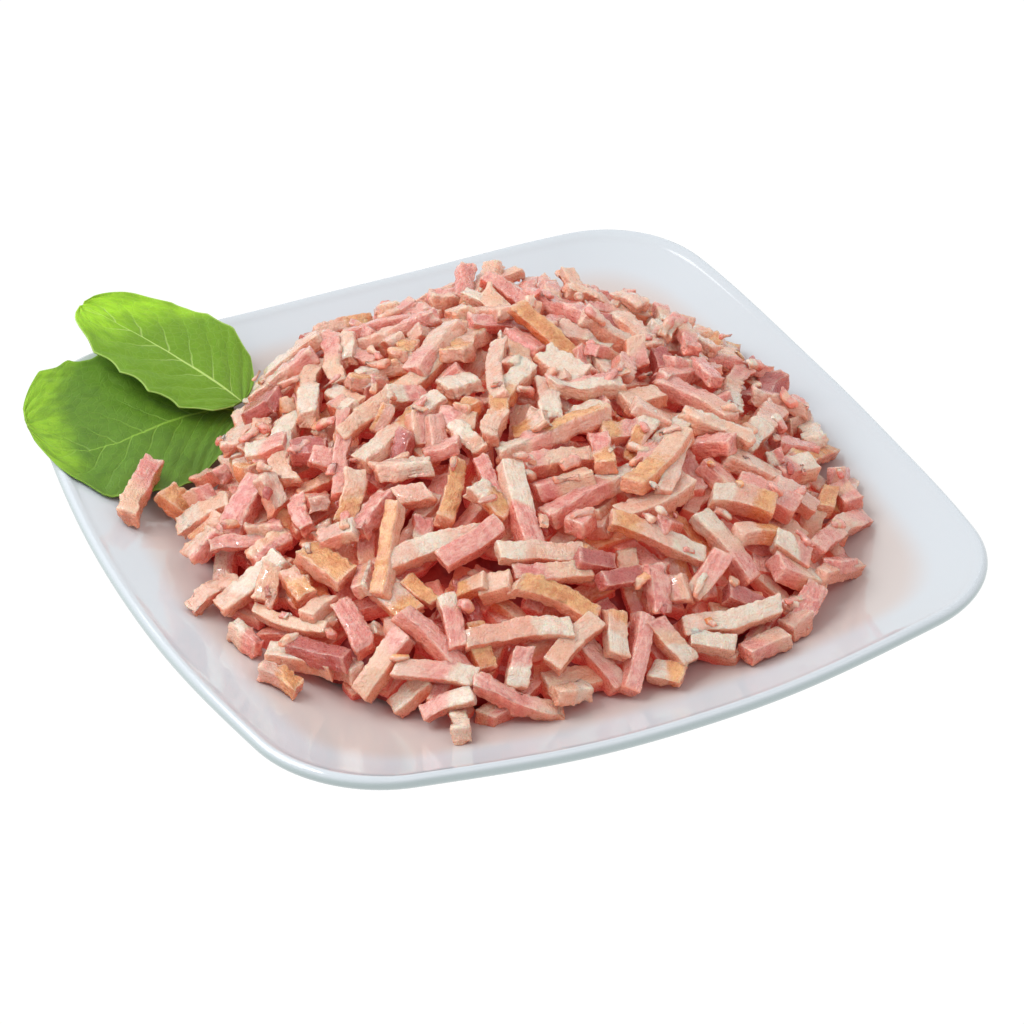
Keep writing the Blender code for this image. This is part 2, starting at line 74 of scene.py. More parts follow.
# Strips, as they are drawn and laid in the part's source
SEED = 11
GRID = 1.5
SINK = 0.8
NESTLE = 2.2
STEEPEST = 0.85
MOST_TILT = 0.45
TILT_SHARE = 0.7
LENGTHS = (15.0, 24.0, 35.0)
SHORT_LENGTHS = (7.0, 11.0, 16.0)
WIDTHS = (4.4, 6.8)
THICKNESSES = (3.9, 5.8)
SEEN_WIDTH = 0.76
BED_DEPTH = 14.0
CROSSING = 3.0
FREE_REACH = 13.0
FOOTPRINT, END_FOOTPRINT = 0.97, 1.02
JITTER = 2.0
TRIES_AT_ONCE = 40
HALF_STATIONS = 4
UNDER_LAYER = (7.5, 1.5, 6000, 0.4)
BETWEEN_LAYER = (0.5, 4.0, 5000, 0.15)
LAST_LAYER = (2.0, 3.0, 4000, 0.8)
SHOWN_AREA = 42.0
SKEW, TAPER = 0.25, 0.12

# Strips that show from the front: both ends in plan, the width, and the meat from the first
# end to the second: f white fat, l pink lean, p pale cooked, s golden smoked, r dark red
SHOWN = (
    (-97, -46, -90, -57, 8, "ps"), (-104, -11, -88, -7, 8, "pp"), (-96, -24, -93, -36, 5, "fl"),
    (-98, -16, -75, -16, 9, "pff"), (-90, -24, -77, -47, 5, "pp"), (-91, -38, -79, -56, 7, "fp"),
    (-79, -23, -78, -34, 7, "ps"), (-72, -20, -66, -37, 11, "ss"), (-92, 40, -83, 31, 11, "ss"),
    (-105, 33, -90, 51, 8, "pl"), (-94, 26, -77, 16, 11, "fp"), (-86, 3, -69, 14, 9, "ll"),
    (-67, -1, -69, -14, 6, "ll"), (-72, 29, -72, 17, 7, "fs"), (-67, 34, -66, 20, 6, "pl"),
    (-78, 43, -76, 27, 6, "pl"), (-69, 38, -57, 53, 9, "pp"), (-66, 8, -53, 34, 8, "pf"),
    (-52, 24, -37, 52, 8, "fp"), (-60, 16, -52, 9, 9, "rr"), (-58, 7, -51, 2, 8, "ll"),
    (-57, -12, -44, 16, 6, "ll"), (-60, -21, -50, -8, 8, "sp"), (-46, -12, -31, -17, 9, "pf"),
    (-47, -4, -15, 9, 8, "fpsf"), (-39, 34, -36, 20, 7, "fp"), (-34, 38, -31, 24, 5, "ll"),
    (-30, 34, -13, 34, 7, "fss"), (-38, 14, -6, 27, 8, "ppp"), (-13, 12, -3, 11, 11, "ff"),
    (-5, 22, 17, 45, 9, "sps"), (13, 12, 17, 31, 9, "pp"), (22, 18, 27, 1, 10, "ff"),
    (36, 34, 45, 16, 8, "pf"), (40, 12, 37, -2, 8, "fp"), (-20, 0, -12, -8, 9, "lp"),
    (-19, -7, -16, -19, 7, "fp"), (-15, -18, 12, 9, 8, "psf"), (9, -15, 16, 2, 8, "fp"),
    (33, -13, 47, -11, 9, "pp"), (37, -4, 44, 6, 8, "pl"), (-59, -27, -45, -20, 8, "ll"),
    (-45, -24, -36, -27, 8, "pp"), (-18, -22, -20, -37, 6, "ll"), (-27, -34, -21, -45, 9, "fs"),
    (-37, -38, -23, -19, 7, "ss"), (-70, -41, -70, -59, 8, "ll"), (-60, -45, -56, -58, 11, "ps"),
    (-57, -42, -28, -46, 8, "pfp"), (-44, -51, -24, -48, 8, "ll"), (-10, -48, 22, -42, 7, "llf"),
    (-9, -39, 8, -41, 7, "lpp"), (-8, -30, 13, -31, 7, "lpp"), (18, -28, 12, -41, 8, "ls"),
    (19, -25, 38, -25, 9, "slf"), (-12, -23, 24, -20, 6, "flsss"), (-5, -56, 1, -52, 8, "ll"),
    (24, -41, 53, -20, 8, "lff"), (52, -4, 62, -27, 10, "lp"), (60, -36, 88, -10, 9, "fp"),
    (67, -16, 88, 14, 7, "fpl"), (66, 4, 77, 24, 8, "ls"), (80, -36, 101, -19, 10, "sss"),
    (69, -42, 83, -40, 9, "lf"), (52, -38, 68, -47, 9, "pp"), (44, -40, 51, -56, 8, "lp"),
    (66, -69, 93, -53, 8, "lpl"), (62, -50, 75, -58, 9, "pp"), (86, 20, 101, 40, 8, "pps"),
    (50, -49, 66, -60, 9, "ll"), (40, -53, 58, -60, 9, "fps"), (10, -56, 36, -49, 9, "pp"),
    (-13, -29, -19, -57, 8, "fffll"), (-30, -57, -5, -62, 8, "fpp"), (-28, -63, -6, -68, 7, "lp"),
    (-78, -68, -58, -61, 8, "ppl"), (-60, -57, -49, -79, 7, "ll"), (-46, -58, -50, -74, 7, "fll"),
    (-42, -66, -44, -80, 7, "ss"), (-37, -61, -29, -66, 8, "pp"), (-10, -66, 2, -67, 7, "rl"),
    (-6, -73, 8, -71, 7, "lr"), (4, -57, 30, -71, 8, "spf"), (12, -70, 8, -84, 8, "ll"),
    (19, -80, 34, -73, 8, "pll"), (34, -56, 41, -80, 9, "fpl"), (41, -67, 57, -66, 7, "ps"),
    (48, -76, 64, -80, 9, "lpf"), (52, -68, 62, -75, 8, "fl"), (-30, -66, -8, -78, 8, "ss"),
    (-47, -72, -18, -80, 8, "ppf"), (-32, -79, -40, -88, 8, "lf"), (-66, -68, -48, -82, 8, "plf"),
    (-64, -80, -50, -86, 7, "lf"), (-60, -96, -54, -84, 6, "ff"), (-51, -83, -27, -96, 7, "llp"),
    (-28, -87, -10, -79, 8, "pp"), (-4, -78, -9, -90, 8, "spf"), (-30, -93, -18, -93, 8, "pf"),
    (5, -80, -9, -98, 6, "ll"), (5, -82, 12, -96, 8, "lpf"), (1, -92, 8, -98, 9, "fs"),
    (30, -80, 43, -88, 7, "rl"), (14, -86, 44, -90, 8, "pff"), (14, -90, 26, -94, 7, "ff"),
    (28, -97, 42, -95, 9, "lp"), (48, -92, 60, -82, 9, "ll"), (44, -93, 52, -90, 8, "pp"),
)

# Meat of the other strips, in the shares in which it shows
COMMON_MEAT = "pp pp pp pp pp lp pl lp pl ll ll ll fp pf fl lf plp lpl fpl lpp ppl ps sp ss lr".split()

# A strip's mesh: the step between rings, and where its points lie across a side
FINE = (0.72, (-1.0, -0.5, 0.0, 0.5, 1.0))
COARSE = (1.5, (-1.0, 0.0, 1.0))
FINE_AREA = 20.0  # a strip that shows more than this is finely made
EDGE = 0.4  # rounding of the cut edges
CAP_SHARE = 0.55

# A strip's wear, from 0 for a neat cut to 1 for a torn one
TORN = 0.45  # a strip with more wear than this counts as torn
NEAT_FRONT = -35.0  # in front of this most strips are neat, behind it many are torn
NEAT_POWER, TORN_POWER = 2.2, 0.8
EDGE_ZONE, END_ZONE = 0.72, 0.75  # where edges and ends begin, as shares of the way out
# Unevenness: the height when neat, what tearing adds, wavelength and a shift of the noise
FACE_RELIEF = ((0.26, 0.60, 6.0, 0), (0.14, 0.38, 2.4, 50), (0.10, 0.22, 0.9, 170))
EDGE_RELIEF, END_RELIEF = (0.42, 0.75, 1.2, 90), (0.25, 0.90, 2.4, 130)
EDGE_LOSS = (0.08, 0.20)
SWAY, HEAVE = (0.6, 0.9, 7.0, 0), (0.3, 0.5, 7.0, 70)
NOISE_SPAN = 900.0

# A strip's cut and bend, as the most to either side
LEAN_OVER, END_CUT, TWIST = 0.25, 0.45, 0.22
BOW, SAG = 1.8, (-0.3, 1.2)
BOW_LENGTH, BOW_STILL = 30.0, 0.35  # the length that bows so far, and where it stays put

# A strip's layers
LENGTHWISE = 0.35  # share of the random strips whose layers run along them
SLANT, END_SLANT = 0.6, 0.3
SKIN_DEPTH, SKIN_LEAST = (0.2, 0.7), 0.3
UNDERSIDE, INSIDE = (0.75, -0.15), (3.0, 12.0)  # facing, and depth, that make it wet and painted with shade
UNDERSIDE_WET_SHADE, INSIDE_WET_SHADE = 0.6, 0.9
MEATS = (("f", "fat"), ("l", "lean"), ("s", "smoked"), ("p", "pale"))
PIECE_NAMES = {(letter, torn): "strips_" + meat + "_torn"*torn
               for letter, meat in MEATS for torn in (False, True)}

# Small extras on the finished pile
SCRAPS = 120  # small loose bits
SCRAP_SIZES = ((2.5, 7.0), (1.4, 2.8), (0.9, 1.7))
PERCHED = 15  # short upright strips along the heap's far side
PERCHED_SIZES = ((10.0, 17.0), (4.4, 5.8), (3.0, 4.2))
PERCHED_SINK = 1.5
PERCHED_PITCH = (-0.15, 0.28)
PERCHED_OUT = (0.60, 0.80)
PERCHED_SPAN = (-18.0, 62.0)
PERCHED_TURN = 1.0
FAR_WAY = (0.46, 0.888)  # towards the far corner of the plate

# Colours of meat: the first, then each laid over it: by what mark, between what values of it
# (None for in proportion to it), how much at most, and the colour
MEAT_COLOURS = {
    "pale": (
        (233, 209, 192), ("middling", (0.32, 0.68), 1.0, (229, 184, 165)),
        ("fibres", (0.46, 0.72), 0.45, (224, 154, 136)), ("broad", (0.47, 0.68), 0.65, (230, 166, 140)),
        ("warm", None, 0.5, (234, 184, 142)), ("chance", (0.6, 1.0), 0.45, (222, 148, 136))),
    "lean": (
        (212, 118, 110), ("fibres", (0.34, 0.68), 1.0, (236, 166, 152)),
        ("broad", (0.42, 0.66), 0.7, (216, 122, 116)), ("middling", (0.44, 0.62), 0.75, (236, 184, 170)),
        ("chance", None, 0.4, (234, 180, 164)), ("deep", None, 0.7, (166, 50, 50))),
    "fat": (
        (232, 220, 203), ("middling", (0.35, 0.70), 1.0, (229, 201, 180)),
        ("fibres", (0.50, 0.72), 0.4, (232, 176, 152))),
    "smoked": (
        (236, 180, 124), ("middling", (0.35, 0.65), 1.0, (218, 144, 92)),
        ("broad", (0.50, 0.75), 0.5, (206, 122, 74))),
}
# Where one kind of meat gives way to another, and how far the border wanders
LEAN_BORDER, FAT_BORDER, SMOKED_BORDER = (0.20, 0.80), (0.36, 0.62), (0.25, 0.75)
WANDER, FAT_WANDER = 0.9, 0.6
CREAM, EDGE_CREAM = (238, 215, 194), 0.30
SPECK_COLOUR, SPECKS = (222, 134, 110), (0.55, 0.75, 0.0, 0.4)
FRAYED, FRAYED_PATCHES = (0.45, 0.95), (0.38, 0.58, 0.15, 1.0)
NEAT_FRAY, TORN_FRAY = 0.3, 0.4
# Wet and shaded meat, partly real wetness and partly painted shade on undersides and deep in the heap: how
# far, and by what its colour is multiplied
WET_AND_SHADE = ((0.0, 0.7, (1.0, 0.58, 0.43, 1)), (0.6, 1.4, (0.90, 0.19, 0.15, 1)))
PAINTED_GLOW, PAINTED_GLOW_COLOUR = 0.18, (0.62, 0.06, 0.045, 1)  # painted red glow in wet and shaded meat, standing in for light through it
BUMPS = (1.3, 0.9, 0.9)  # of the middling noise, the fibres and the fine noise
MEAT_ROUGHNESS = (0.2, 0.8, 0.18, 0.44)
FIBRE_STRETCH = (0.22, 1.0, 1.4)

# Leaves
LEAF_THICK = 0.8
LEAF_CLEAR = 0.9
LEAF_SAMPLES = 60
LEAF_END = 0.06
WAVE_SHIFT = 1.3
FINE_LEAF_THICK = 0.45
LEAF_ROWS, LEAF_COLUMNS = 110, 64
TOOTH_SHIFT = 1.1
MARGIN_ROUGH, MARGIN_GRAIN, SIDE_APART = 0.015, 3.0, 40.0
VEIN_SPACING, VEIN_SLANT, VEIN_CURVE, VEIN_STAGGER, VEIN_WANDER = 9.0, 0.75, 0.006, 4.0, 3.0
PUCKER, PUCKER_LOW, PUCKER_RIB, PUCKER_MARGIN = 0.38, 0.6, 5.0, 8.0
LEAF_LUMPS = (0.22, 7.0)
# A leaf's form, where its middle rib starts to one side and how far it drifts, and the teeth of
# its margin: how many, how deep and how far either side reaches, first the front one
LOWER_LEAF = dict(base=(-55, 71, 15.5), middle=(-84, 71, 20), tip=(-118.5, 79, 24.5), half_width=31.0,
                  widest=0.60, blunt=0.50, lean=0.21, cup=0.01, wave=1.2, waves=2.2, phase=0.4,
                  rib=(8.0, -26.0), teeth=6.5, depth=(0.05, 0.06), sides=(1.03, 0.93))
UPPER_LEAF = dict(base=(-53, 70, 19.5), middle=(-62, 89, 26), tip=(-86, 116, 36.5), half_width=24.0,
                  widest=0.50, blunt=0.50, lean=-0.03, cup=0.05, wave=1.0, waves=1.8, phase=1.9,
                  rib=(0.0, 0.0), teeth=5.6, depth=(0.11, 0.04), sides=(0.88, 1.0))
# Looks of a leaf: the shares of the plate between which it goes from painted shade over the plate to
# painted light shining through it beyond the rim, and its colours
LOWER_LOOKS = dict(shade_to_backlight=(0.92, 0.99), bright=(136, 180, 42), deep=(92, 130, 38),
                   shade=(72, 104, 30), vein=(142, 180, 70))
UPPER_LOOKS = dict(shade_to_backlight=(0.88, 1.0), bright=(156, 206, 42), deep=(106, 146, 30),
                   shade=(96, 136, 26), vein=(196, 222, 130))

# Camera: its direction from the plate, the distance and the point it looks at
AZIMUTH, ELEVATION, ROLL = -27.383, 36.056, 1.305
DISTANCE = 1037.7
LOOK_HEIGHT = 18.0
LOOK_SHIFT = (3.625, -7.691)
SENSOR, LENS = 36.0, 123.41

# Lights: metres to the right, up and towards the camera, then the size and the power
LIGHTS = {"key": (-0.70, 0.87, -0.12, 0.90, 7.2), "glint": (-0.45, 0.80, 0.25, 0.12, 1.1),
          "fill": (0.60, 0.70, 0.70, 1.00, 2.5)}
LIT_HEIGHT = 0.02
ROOM_LIGHT, FLOOR_LIGHT = 0.78, 1.04
FLOOR_SIZE, FLOOR_DROP = 8.0, 0.0001


def rim_radius(angle):
    """Plan radius of the rounded square that the rim follows."""
    spread = SIDE_RADIUS - CORNER_RADIUS
    side_centre = PLATE_HALF - SIDE_RADIUS
    corner_centre = (side_centre + np.sqrt(2*spread**2 - side_centre**2))/2
    join = np.arctan2(corner_centre/spread*SIDE_RADIUS,
                      side_centre + (corner_centre - side_centre)/spread*SIDE_RADIUS)
    turn = np.abs((angle + np.pi/4) % (np.pi/2) - np.pi/4)
    along = side_centre*np.cos(turn)
    side = along + np.sqrt(along**2 - side_centre**2 + SIDE_RADIUS**2)
    along = corner_centre*(np.cos(turn) + np.sin(turn))
    corner = along + np.sqrt(np.maximum(along**2 - 2*corner_centre**2 + CORNER_RADIUS**2, 0))
    return np.where(turn <= join, side, corner)


def corner_lift(angle):
    return CORNER_LIFT*np.abs(np.sin(2*angle))**LIFT_POWER


def wall_rise(share):
    """How far up the wall a ring lies, from 0 in the well to 1 at the rim."""
    return np.clip((share - WELL_SHARE)/(1 - WELL_SHARE), 0, None)**WALL_POWER


def plate_top(x, y):
    """Height of the plate's upper face."""
    angle = np.arctan2(y, x)
    share = np.hypot(x, y)/rim_radius(angle)
    return WELL_HEIGHT + (RIM_HEIGHT + corner_lift(angle) - WELL_HEIGHT)*wall_rise(share)


def mound(x, y):
    """Height of the heap's outer surface, and how far out of the footprint a point lies."""
    across = (np.abs(x - HEAP_CENTRE[0])/HEAP_HALF)**HEAP_SQUARE
    along = (np.abs(y - HEAP_CENTRE[1])/HEAP_HALF)**HEAP_SQUARE
    out = (across + along)**(1/HEAP_SQUARE)
    power, round_power = HEAP_SLOPE
    rise = np.clip(1 - out**power, 0, 1)**round_power
    room = 1.0
    for way, reach, slope in FLANKS:
        room = np.minimum(room, np.clip((reach - x*way[0] - y*way[1])/slope, 0, 1))
    base = plate_top(x, y)
    return base + (HEAP_TOP - base)*rise*np.sqrt(room), np.where(room > 0, out, 2)


def leaf_point(leaf, along, across, above=0.0):
    """A point of a leaf: along runs from base to tip, across from -1 to 1."""
    base, middle, tip = (np.array(leaf[name], float) for name in ("base", "middle", "tip"))
    rib = base*(1 - along)**2 + 2*middle*along*(1 - along) + tip*along**2
    axis = tip - base
    side = np.array((axis[1], -axis[0], 0.0))/np.hypot(axis[0], axis[1])
    side[2] = leaf["lean"]
    shape = np.sin(np.pi*min(along, 1)**(np.log(0.5)/np.log(leaf["widest"])))
    half = leaf["half_width"]*(LEAF_END + (1 - LEAF_END)*max(shape, 0)**leaf["blunt"])
    point = rib + side*half*across
    wave = leaf["wave"]*np.sin(2*np.pi*leaf["waves"]*along + leaf["phase"] + (across > 0)*WAVE_SHIFT)
    point[2] += leaf["cup"]*half*across**2 + wave*across**2
    point[2] = max(point[2], plate_top(point[0], point[1]) + LEAF_CLEAR) + above
    return point


class Pile:
    """Strips laid one after another on a height map."""

    def __init__(self):
        self.random = np.random.default_rng(SEED)
        cells = int(2*PLATE_HALF/GRID) + 1
        self.ticks = np.linspace(-PLATE_HALF, PLATE_HALF, cells)
        self.x, self.y = np.meshgrid(self.ticks, self.ticks, indexing="ij")
        self.target, self.out = mound(self.x, self.y)
        self.floor = plate_top(self.x, self.y) + PLATE_CLEAR
        for leaf in (LOWER_LEAF, UPPER_LEAF):
            self.raise_over_leaf(leaf)
        deep = np.where(self.out < 1, self.target - BED_DEPTH, self.floor)
        self.height = np.maximum(self.floor, deep)
        self.owner = np.full(self.x.shape, -1)
        self.free = np.ones(self.x.shape, bool)
        self.strips = []

    def raise_over_leaf(self, leaf):
        for along in np.linspace(0, 1, LEAF_SAMPLES):
            for across in np.linspace(-1, 1, LEAF_SAMPLES):
                point = leaf_point(leaf, along, across, LEAF_THICK)
                i, j = self.cell(point[0], point[1])
                self.floor[i, j] = max(self.floor[i, j], point[2])

    def cell(self, x, y):
        last = len(self.ticks) - 1
        i = np.clip(np.rint((np.asarray(x) + PLATE_HALF)/GRID), 0, last).astype(int)
        j = np.clip(np.rint((np.asarray(y) + PLATE_HALF)/GRID), 0, last).astype(int)
        return i, j

    def rest(self, ground_map, x, y, heading, length, width):
        """Height and slopes of a strip's underside where it comes to rest on a height map."""
        stations = np.linspace(-0.5, 0.5, 2*HALF_STATIONS + 1)*length
        sides = np.array((-0.5, 0.0, 0.5))*width
        ahead = np.array((np.cos(heading), np.sin(heading)))
        px = x + ahead[0]*stations[:, None] - ahead[1]*sides[None, :]
        py = y + ahead[1]*stations[:, None] + ahead[0]*sides[None, :]
        ground = ground_map[self.cell(px, py)]
        tilt = TILT_SHARE*(ground[:, 2].mean() - ground[:, 0].mean())/width
        tilt = np.clip(tilt, -MOST_TILT, MOST_TILT)
        line = (ground - tilt*sides[None, :]).max(axis=1)
        behind, before = line[:HALF_STATIONS], line[-HALF_STATIONS:]
        gap = stations[-HALF_STATIONS:][None, :] - stations[:HALF_STATIONS][:, None]
        slope = (before[None, :] - behind[:, None])/gap
        middle = behind[:, None] - slope*stations[:HALF_STATIONS][:, None]
        a, b = np.unravel_index(middle.argmax(), middle.shape)
        pitch = np.clip(slope[a, b], -STEEPEST, STEEPEST)
        base = (line - pitch*stations).max()
        return base - SINK, pitch, tilt

    def lay(self, x, y, heading, length, width, thick, base, pitch, tilt):
        """Add a strip and raise the height map under it."""
        ahead = np.array((np.cos(heading), np.sin(heading)))
        reach = np.hypot(length, width)/2
        near = np.hypot(self.x - x, self.y - y) < reach
        s = (self.x - x)*ahead[0] + (self.y - y)*ahead[1]
        t = (self.y - y)*ahead[0] - (self.x - x)*ahead[1]
        inside = near & (np.abs(s) < length/2) & (np.abs(t) < width/2)
        top = base + pitch*s + tilt*t + thick*np.sqrt(1 + pitch**2)
        higher = inside & (top > self.height)
        self.height[higher] = top[higher]
        self.owner[higher] = len(self.strips)
        self.strips.append((x, y, heading, length, width, thick, base, pitch, tilt))

    def draw_size(self, short_share):
        short = self.random.random() < short_share
        length = self.random.triangular(*(SHORT_LENGTHS if short else LENGTHS))
        return length, self.random.uniform(*WIDTHS), self.random.uniform(*THICKNESSES)

    def fill(self, below, proud, tries, short_share):
        """Lay random strips wherever the heap is still lower than the mound by the given depth."""
        low = []
        for count in range(tries):
            if count % TRIES_AT_ONCE == 0:
                lack = self.target - below - self.height
                low = np.argwhere((lack > proud) & (self.out < FOOTPRINT) & self.free)
            if len(low) == 0:
                break
            i, j = low[self.random.integers(len(low))]
            x = self.x[i, j] + self.random.uniform(-JITTER, JITTER)
            y = self.y[i, j] + self.random.uniform(-JITTER, JITTER)
            heading = self.random.uniform(0, np.pi)
            length, width, thick = self.draw_size(short_share)
            half = length/2*np.array((np.cos(heading), np.sin(heading)))
            ends = self.out[self.cell((x - half[0], x + half[0]), (y - half[1], y + half[1]))]
            base, pitch, tilt = self.rest(self.height, x, y, heading, length, width)
            floor = self.rest(self.floor, x, y, heading, length, width)[0] + SINK
            base = max(base - NESTLE, floor)
            limit = self.target[i, j] - below + proud
            if base + thick < limit and ends.max() < END_FOOTPRINT:
                self.lay(x, y, heading, length, width, thick, base, pitch, tilt)

    def lay_shown(self):
        """Lay the strips that show from the front, along the mound's surface."""
        for x1, y1, x2, y2, seen_width, meat in SHOWN:
            x, y = (x1 + x2)/2, (y1 + y2)/2
            width = SEEN_WIDTH*seen_width
            length = np.hypot(x2 - x1, y2 - y1)
            heading = np.arctan2(y2 - y1, x2 - x1)
            thick = self.random.uniform(*THICKNESSES)
            rest, rest_pitch, rest_tilt = self.rest(self.height, x, y, heading, length, width)
            middle, first, last = (mound(*at)[0] for at in ((x, y), (x1, y1), (x2, y2)))
            pitch = np.clip((last - first)/length, -STEEPEST, STEEPEST)
            base = (middle + (first + last)/2)/2 - thick*np.sqrt(1 + pitch**2)
            if base < rest:
                base, pitch = min(rest, base + CROSSING), (pitch + rest_pitch)/2
            floor, floor_pitch, floor_tilt = self.rest(self.floor, x, y, heading, length, width)
            if base < floor + SINK:
                base, pitch, rest_tilt = floor + SINK, floor_pitch, floor_tilt
            self.lay(x, y, heading, length, width, thick, base, pitch, rest_tilt)
            self.free &= np.hypot(self.x - x, self.y - y) > FREE_REACH

    def shown_areas(self):
        owners = self.owner[self.owner >= 0]
        return np.bincount(owners, minlength=len(self.strips))*GRID**2


def build_pile():
    """The pile, and the place in it of the first strip of SHOWN."""
    pile = Pile()
    pile.fill(*UNDER_LAYER)
    first_shown = len(pile.strips)
    pile.lay_shown()
    pile.fill(*BETWEEN_LAYER)
    pile.free[:] = True
    pile.fill(*LAST_LAYER)
    return pile, first_shown


def strip_matrix(strip):
    """Where a strip's middle lies and how it is turned."""
    x, y, heading, length, width, thick, base, pitch, tilt = strip
    ahead = Vector((np.cos(heading), np.sin(heading), pitch)).normalized()
    left = Vector((-np.sin(heading), np.cos(heading), tilt))
    left = (left - ahead*left.dot(ahead)).normalized()
    up = ahead.cross(left)
    matrix = Matrix((ahead, left, up)).transposed().to_4x4()
    matrix.translation = Vector((x, y, base + thick/2*np.sqrt(1 + pitch**2)))
    return matrix


SHUFFLE = np.random.default_rng(5).permutation(256)
LATTICE = np.random.default_rng(6).uniform(-1, 1, 256)


def grain(points, wavelength):
    """Smooth noise from -1 to 1 at rows of three coordinates."""
    scaled = np.asarray(points, float)/wavelength
    cell = np.floor(scaled).astype(int)
    part = scaled - cell
    part = part*part*(3 - 2*part)
    total = np.zeros(len(scaled))
    for corner in np.ndindex(2, 2, 2):
        weight = np.prod(np.where(corner, part, 1 - part), axis=1)
        at = (cell + corner) & 255
        key = SHUFFLE[(SHUFFLE[(SHUFFLE[at[:, 0]] + at[:, 1]) & 255] + at[:, 2]) & 255]
        total += weight*LATTICE[key]
    return total


def link_object(name, data):
    obj = bpy.data.objects.new(name, data)
    bpy.context.scene.collection.objects.link(obj)
    return obj


def mesh_object(name, points, faces, fields=None):
    """A smooth mesh from points in millimetres, with named vectors at its points."""
    mesh = bpy.data.meshes.new(name)
    mesh.from_pydata(np.asarray(points)*MM, [], faces)
    mesh.shade_smooth()
    for field, values in (fields or {}).items():
        attribute = mesh.attributes.new(field, "FLOAT_VECTOR", "POINT")
        attribute.data.foreach_set("vector", np.asarray(values, np.float32).ravel())
    mesh.update()
    return link_object(name, mesh)


def tube_faces(rings, sides):
    """Quads between rings of points, and a fan of triangles at a pole point at either end."""
    faces = []
    for side in range(sides):
        after = (side + 1) % sides
        faces.append((0, 1 + after, 1 + side))
        for ring in range(rings - 1):
            a, b = 1 + ring*sides, 1 + (ring + 1)*sides
            faces.append((a + side, a + after, b + after, b + side))
        last = 1 + (rings - 1)*sides
        faces.append((last + side, last + after, 1 + rings*sides))
    return faces


def bar_points(length, width, thick, detail):
    """Points of a bar with rounded edges, ring after ring, from pole to pole."""
    ring_step, side_shares = detail
    inner = length/2 - EDGE
    full = np.linspace(-inner, inner, max(4, round(2*inner/ring_step)) + 1)
    ends = ((length/2, EDGE, CAP_SHARE), (length/2, EDGE, 1), (length/2 - 0.3*EDGE, 0.3*EDGE, 1))
    stations = [(-x, inset, share) for x, inset, share in ends]
    stations += [(x, 0, 1) for x in full]
    stations += reversed(ends)
    rings = [np.array(((-length/2, 0, 0),))]
    for x, inset, share in stations:
        flat_y, flat_z = width/2 - EDGE, thick/2 - EDGE
        high, mid = EDGE - inset, 0.71*(EDGE - inset)
        half = [(flat_y*s, -flat_z - high) for s in side_shares] + [(flat_y + mid, -flat_z - mid)]
        half += [(flat_y + high, flat_z*s) for s in side_shares] + [(flat_y + mid, flat_z + mid)]
        loop = np.array(half + [(-y, -z) for y, z in half])*share
        rings.append(np.column_stack((np.full(len(loop), x), loop)))
    rings.append(np.array(((length/2, 0, 0),)))
    return np.concatenate(rings), len(stations), len(loop)


def meat_fields(meat, share):
    """How much fat, lean and smoked skin there is at shares of the way from end to end."""
    centres = (np.arange(len(meat)) + 0.5)/len(meat)
    amounts = [[float(letter in kind) for letter in meat] for kind in ("f", "lr", "s")]
    return np.column_stack([np.interp(share, centres, amount) for amount in amounts])


class Meat:
    """Strips gathered into one mesh of points, faces and fields."""

    def __init__(self):
        self.points, self.faces, self.fields = [], [], []
        self.count = 0

    def add(self, points, faces, fields):
        self.points.append(points)
        self.faces += [tuple(index + self.count for index in face) for face in faces]
        self.fields.append(fields)
        self.count += len(points)

    def build(self, name):
        fields = {key: np.concatenate([each[key] for each in self.fields]) for key in self.fields[0]}
        obj = mesh_object(name, np.concatenate(self.points), self.faces, fields)
        obj.data.materials.append(meat_material(name))
        return obj


def ramp(value, low, high):
    """From 0 at the low value to 1 at the high one."""
    return np.clip((value - low)/(high - low), 0, 1)


def uneven(place, torn, relief):
    """Noise that stands higher on a torn strip than on a neat one."""
    neat, added, wavelength, shift = relief
    return (neat + added*torn)*grain(place + shift, wavelength)


def facing(share):
    """Which way each point of a bar faces, and how near it lies to a long edge."""
    away = (2*share)**7
    away /= np.linalg.norm(away, axis=1)[:, None] + 1e-9
    second = np.sort(np.abs(2*share), axis=1)[:, 1]
    return away, ramp(second, EDGE_ZONE, 1)


def cut_and_bend(points, size, offset, cut, torn, random):
    """A bar's points once it is cut askew, worn, twisted and bent."""
    length, width, _ = size
    skew, taper = cut
    share = points/size
    away, near_edge = facing(share)
    near_end = ramp(np.abs(2*share[:, 0]), END_ZONE, 1)
    local = points + offset
    relief = sum(uneven(local, torn, layer) for layer in FACE_RELIEF)
    relief += near_edge*(uneven(local, torn, EDGE_RELIEF) - EDGE_LOSS[0] - EDGE_LOSS[1]*torn)
    relief += near_end*uneven(local, torn, END_RELIEF)
    shaped = points.copy()
    shaped[:, 1] *= 1 + taper*share[:, 0]
    shaped[:, 1] += random.uniform(-LEAN_OVER, LEAN_OVER)*shaped[:, 2]
    shaped[:, 2] *= 1 - taper*share[:, 0]
    end_cut = random.uniform(-END_CUT, END_CUT, 2)
    shaped[:, 0] += skew*share[:, 1]*width
    shaped[:, 0] += 2*np.abs(share[:, 0])**3*np.where(share[:, 0] > 0, *end_cut)*shaped[:, 2]
    shaped += away*relief[:, None]
    twist = random.uniform(-TWIST, TWIST)*share[:, 0]
    aside, above = shaped[:, 1:].T.copy()
    shaped[:, 1] = aside*np.cos(twist) - above*np.sin(twist)
    shaped[:, 2] = aside*np.sin(twist) + above*np.cos(twist)
    middle_line = np.column_stack((points[:, 0], np.zeros((len(points), 2)))) + offset
    shaped[:, 1] += uneven(middle_line, torn, SWAY)
    shaped[:, 2] += uneven(middle_line, torn, HEAVE)
    bow = (length/BOW_LENGTH)**2*((2*share[:, 0])**2 - BOW_STILL)
    shaped[:, 1] += random.uniform(-BOW, BOW)*bow
    shaped[:, 2] -= random.uniform(*SAG)*bow
    return shaped


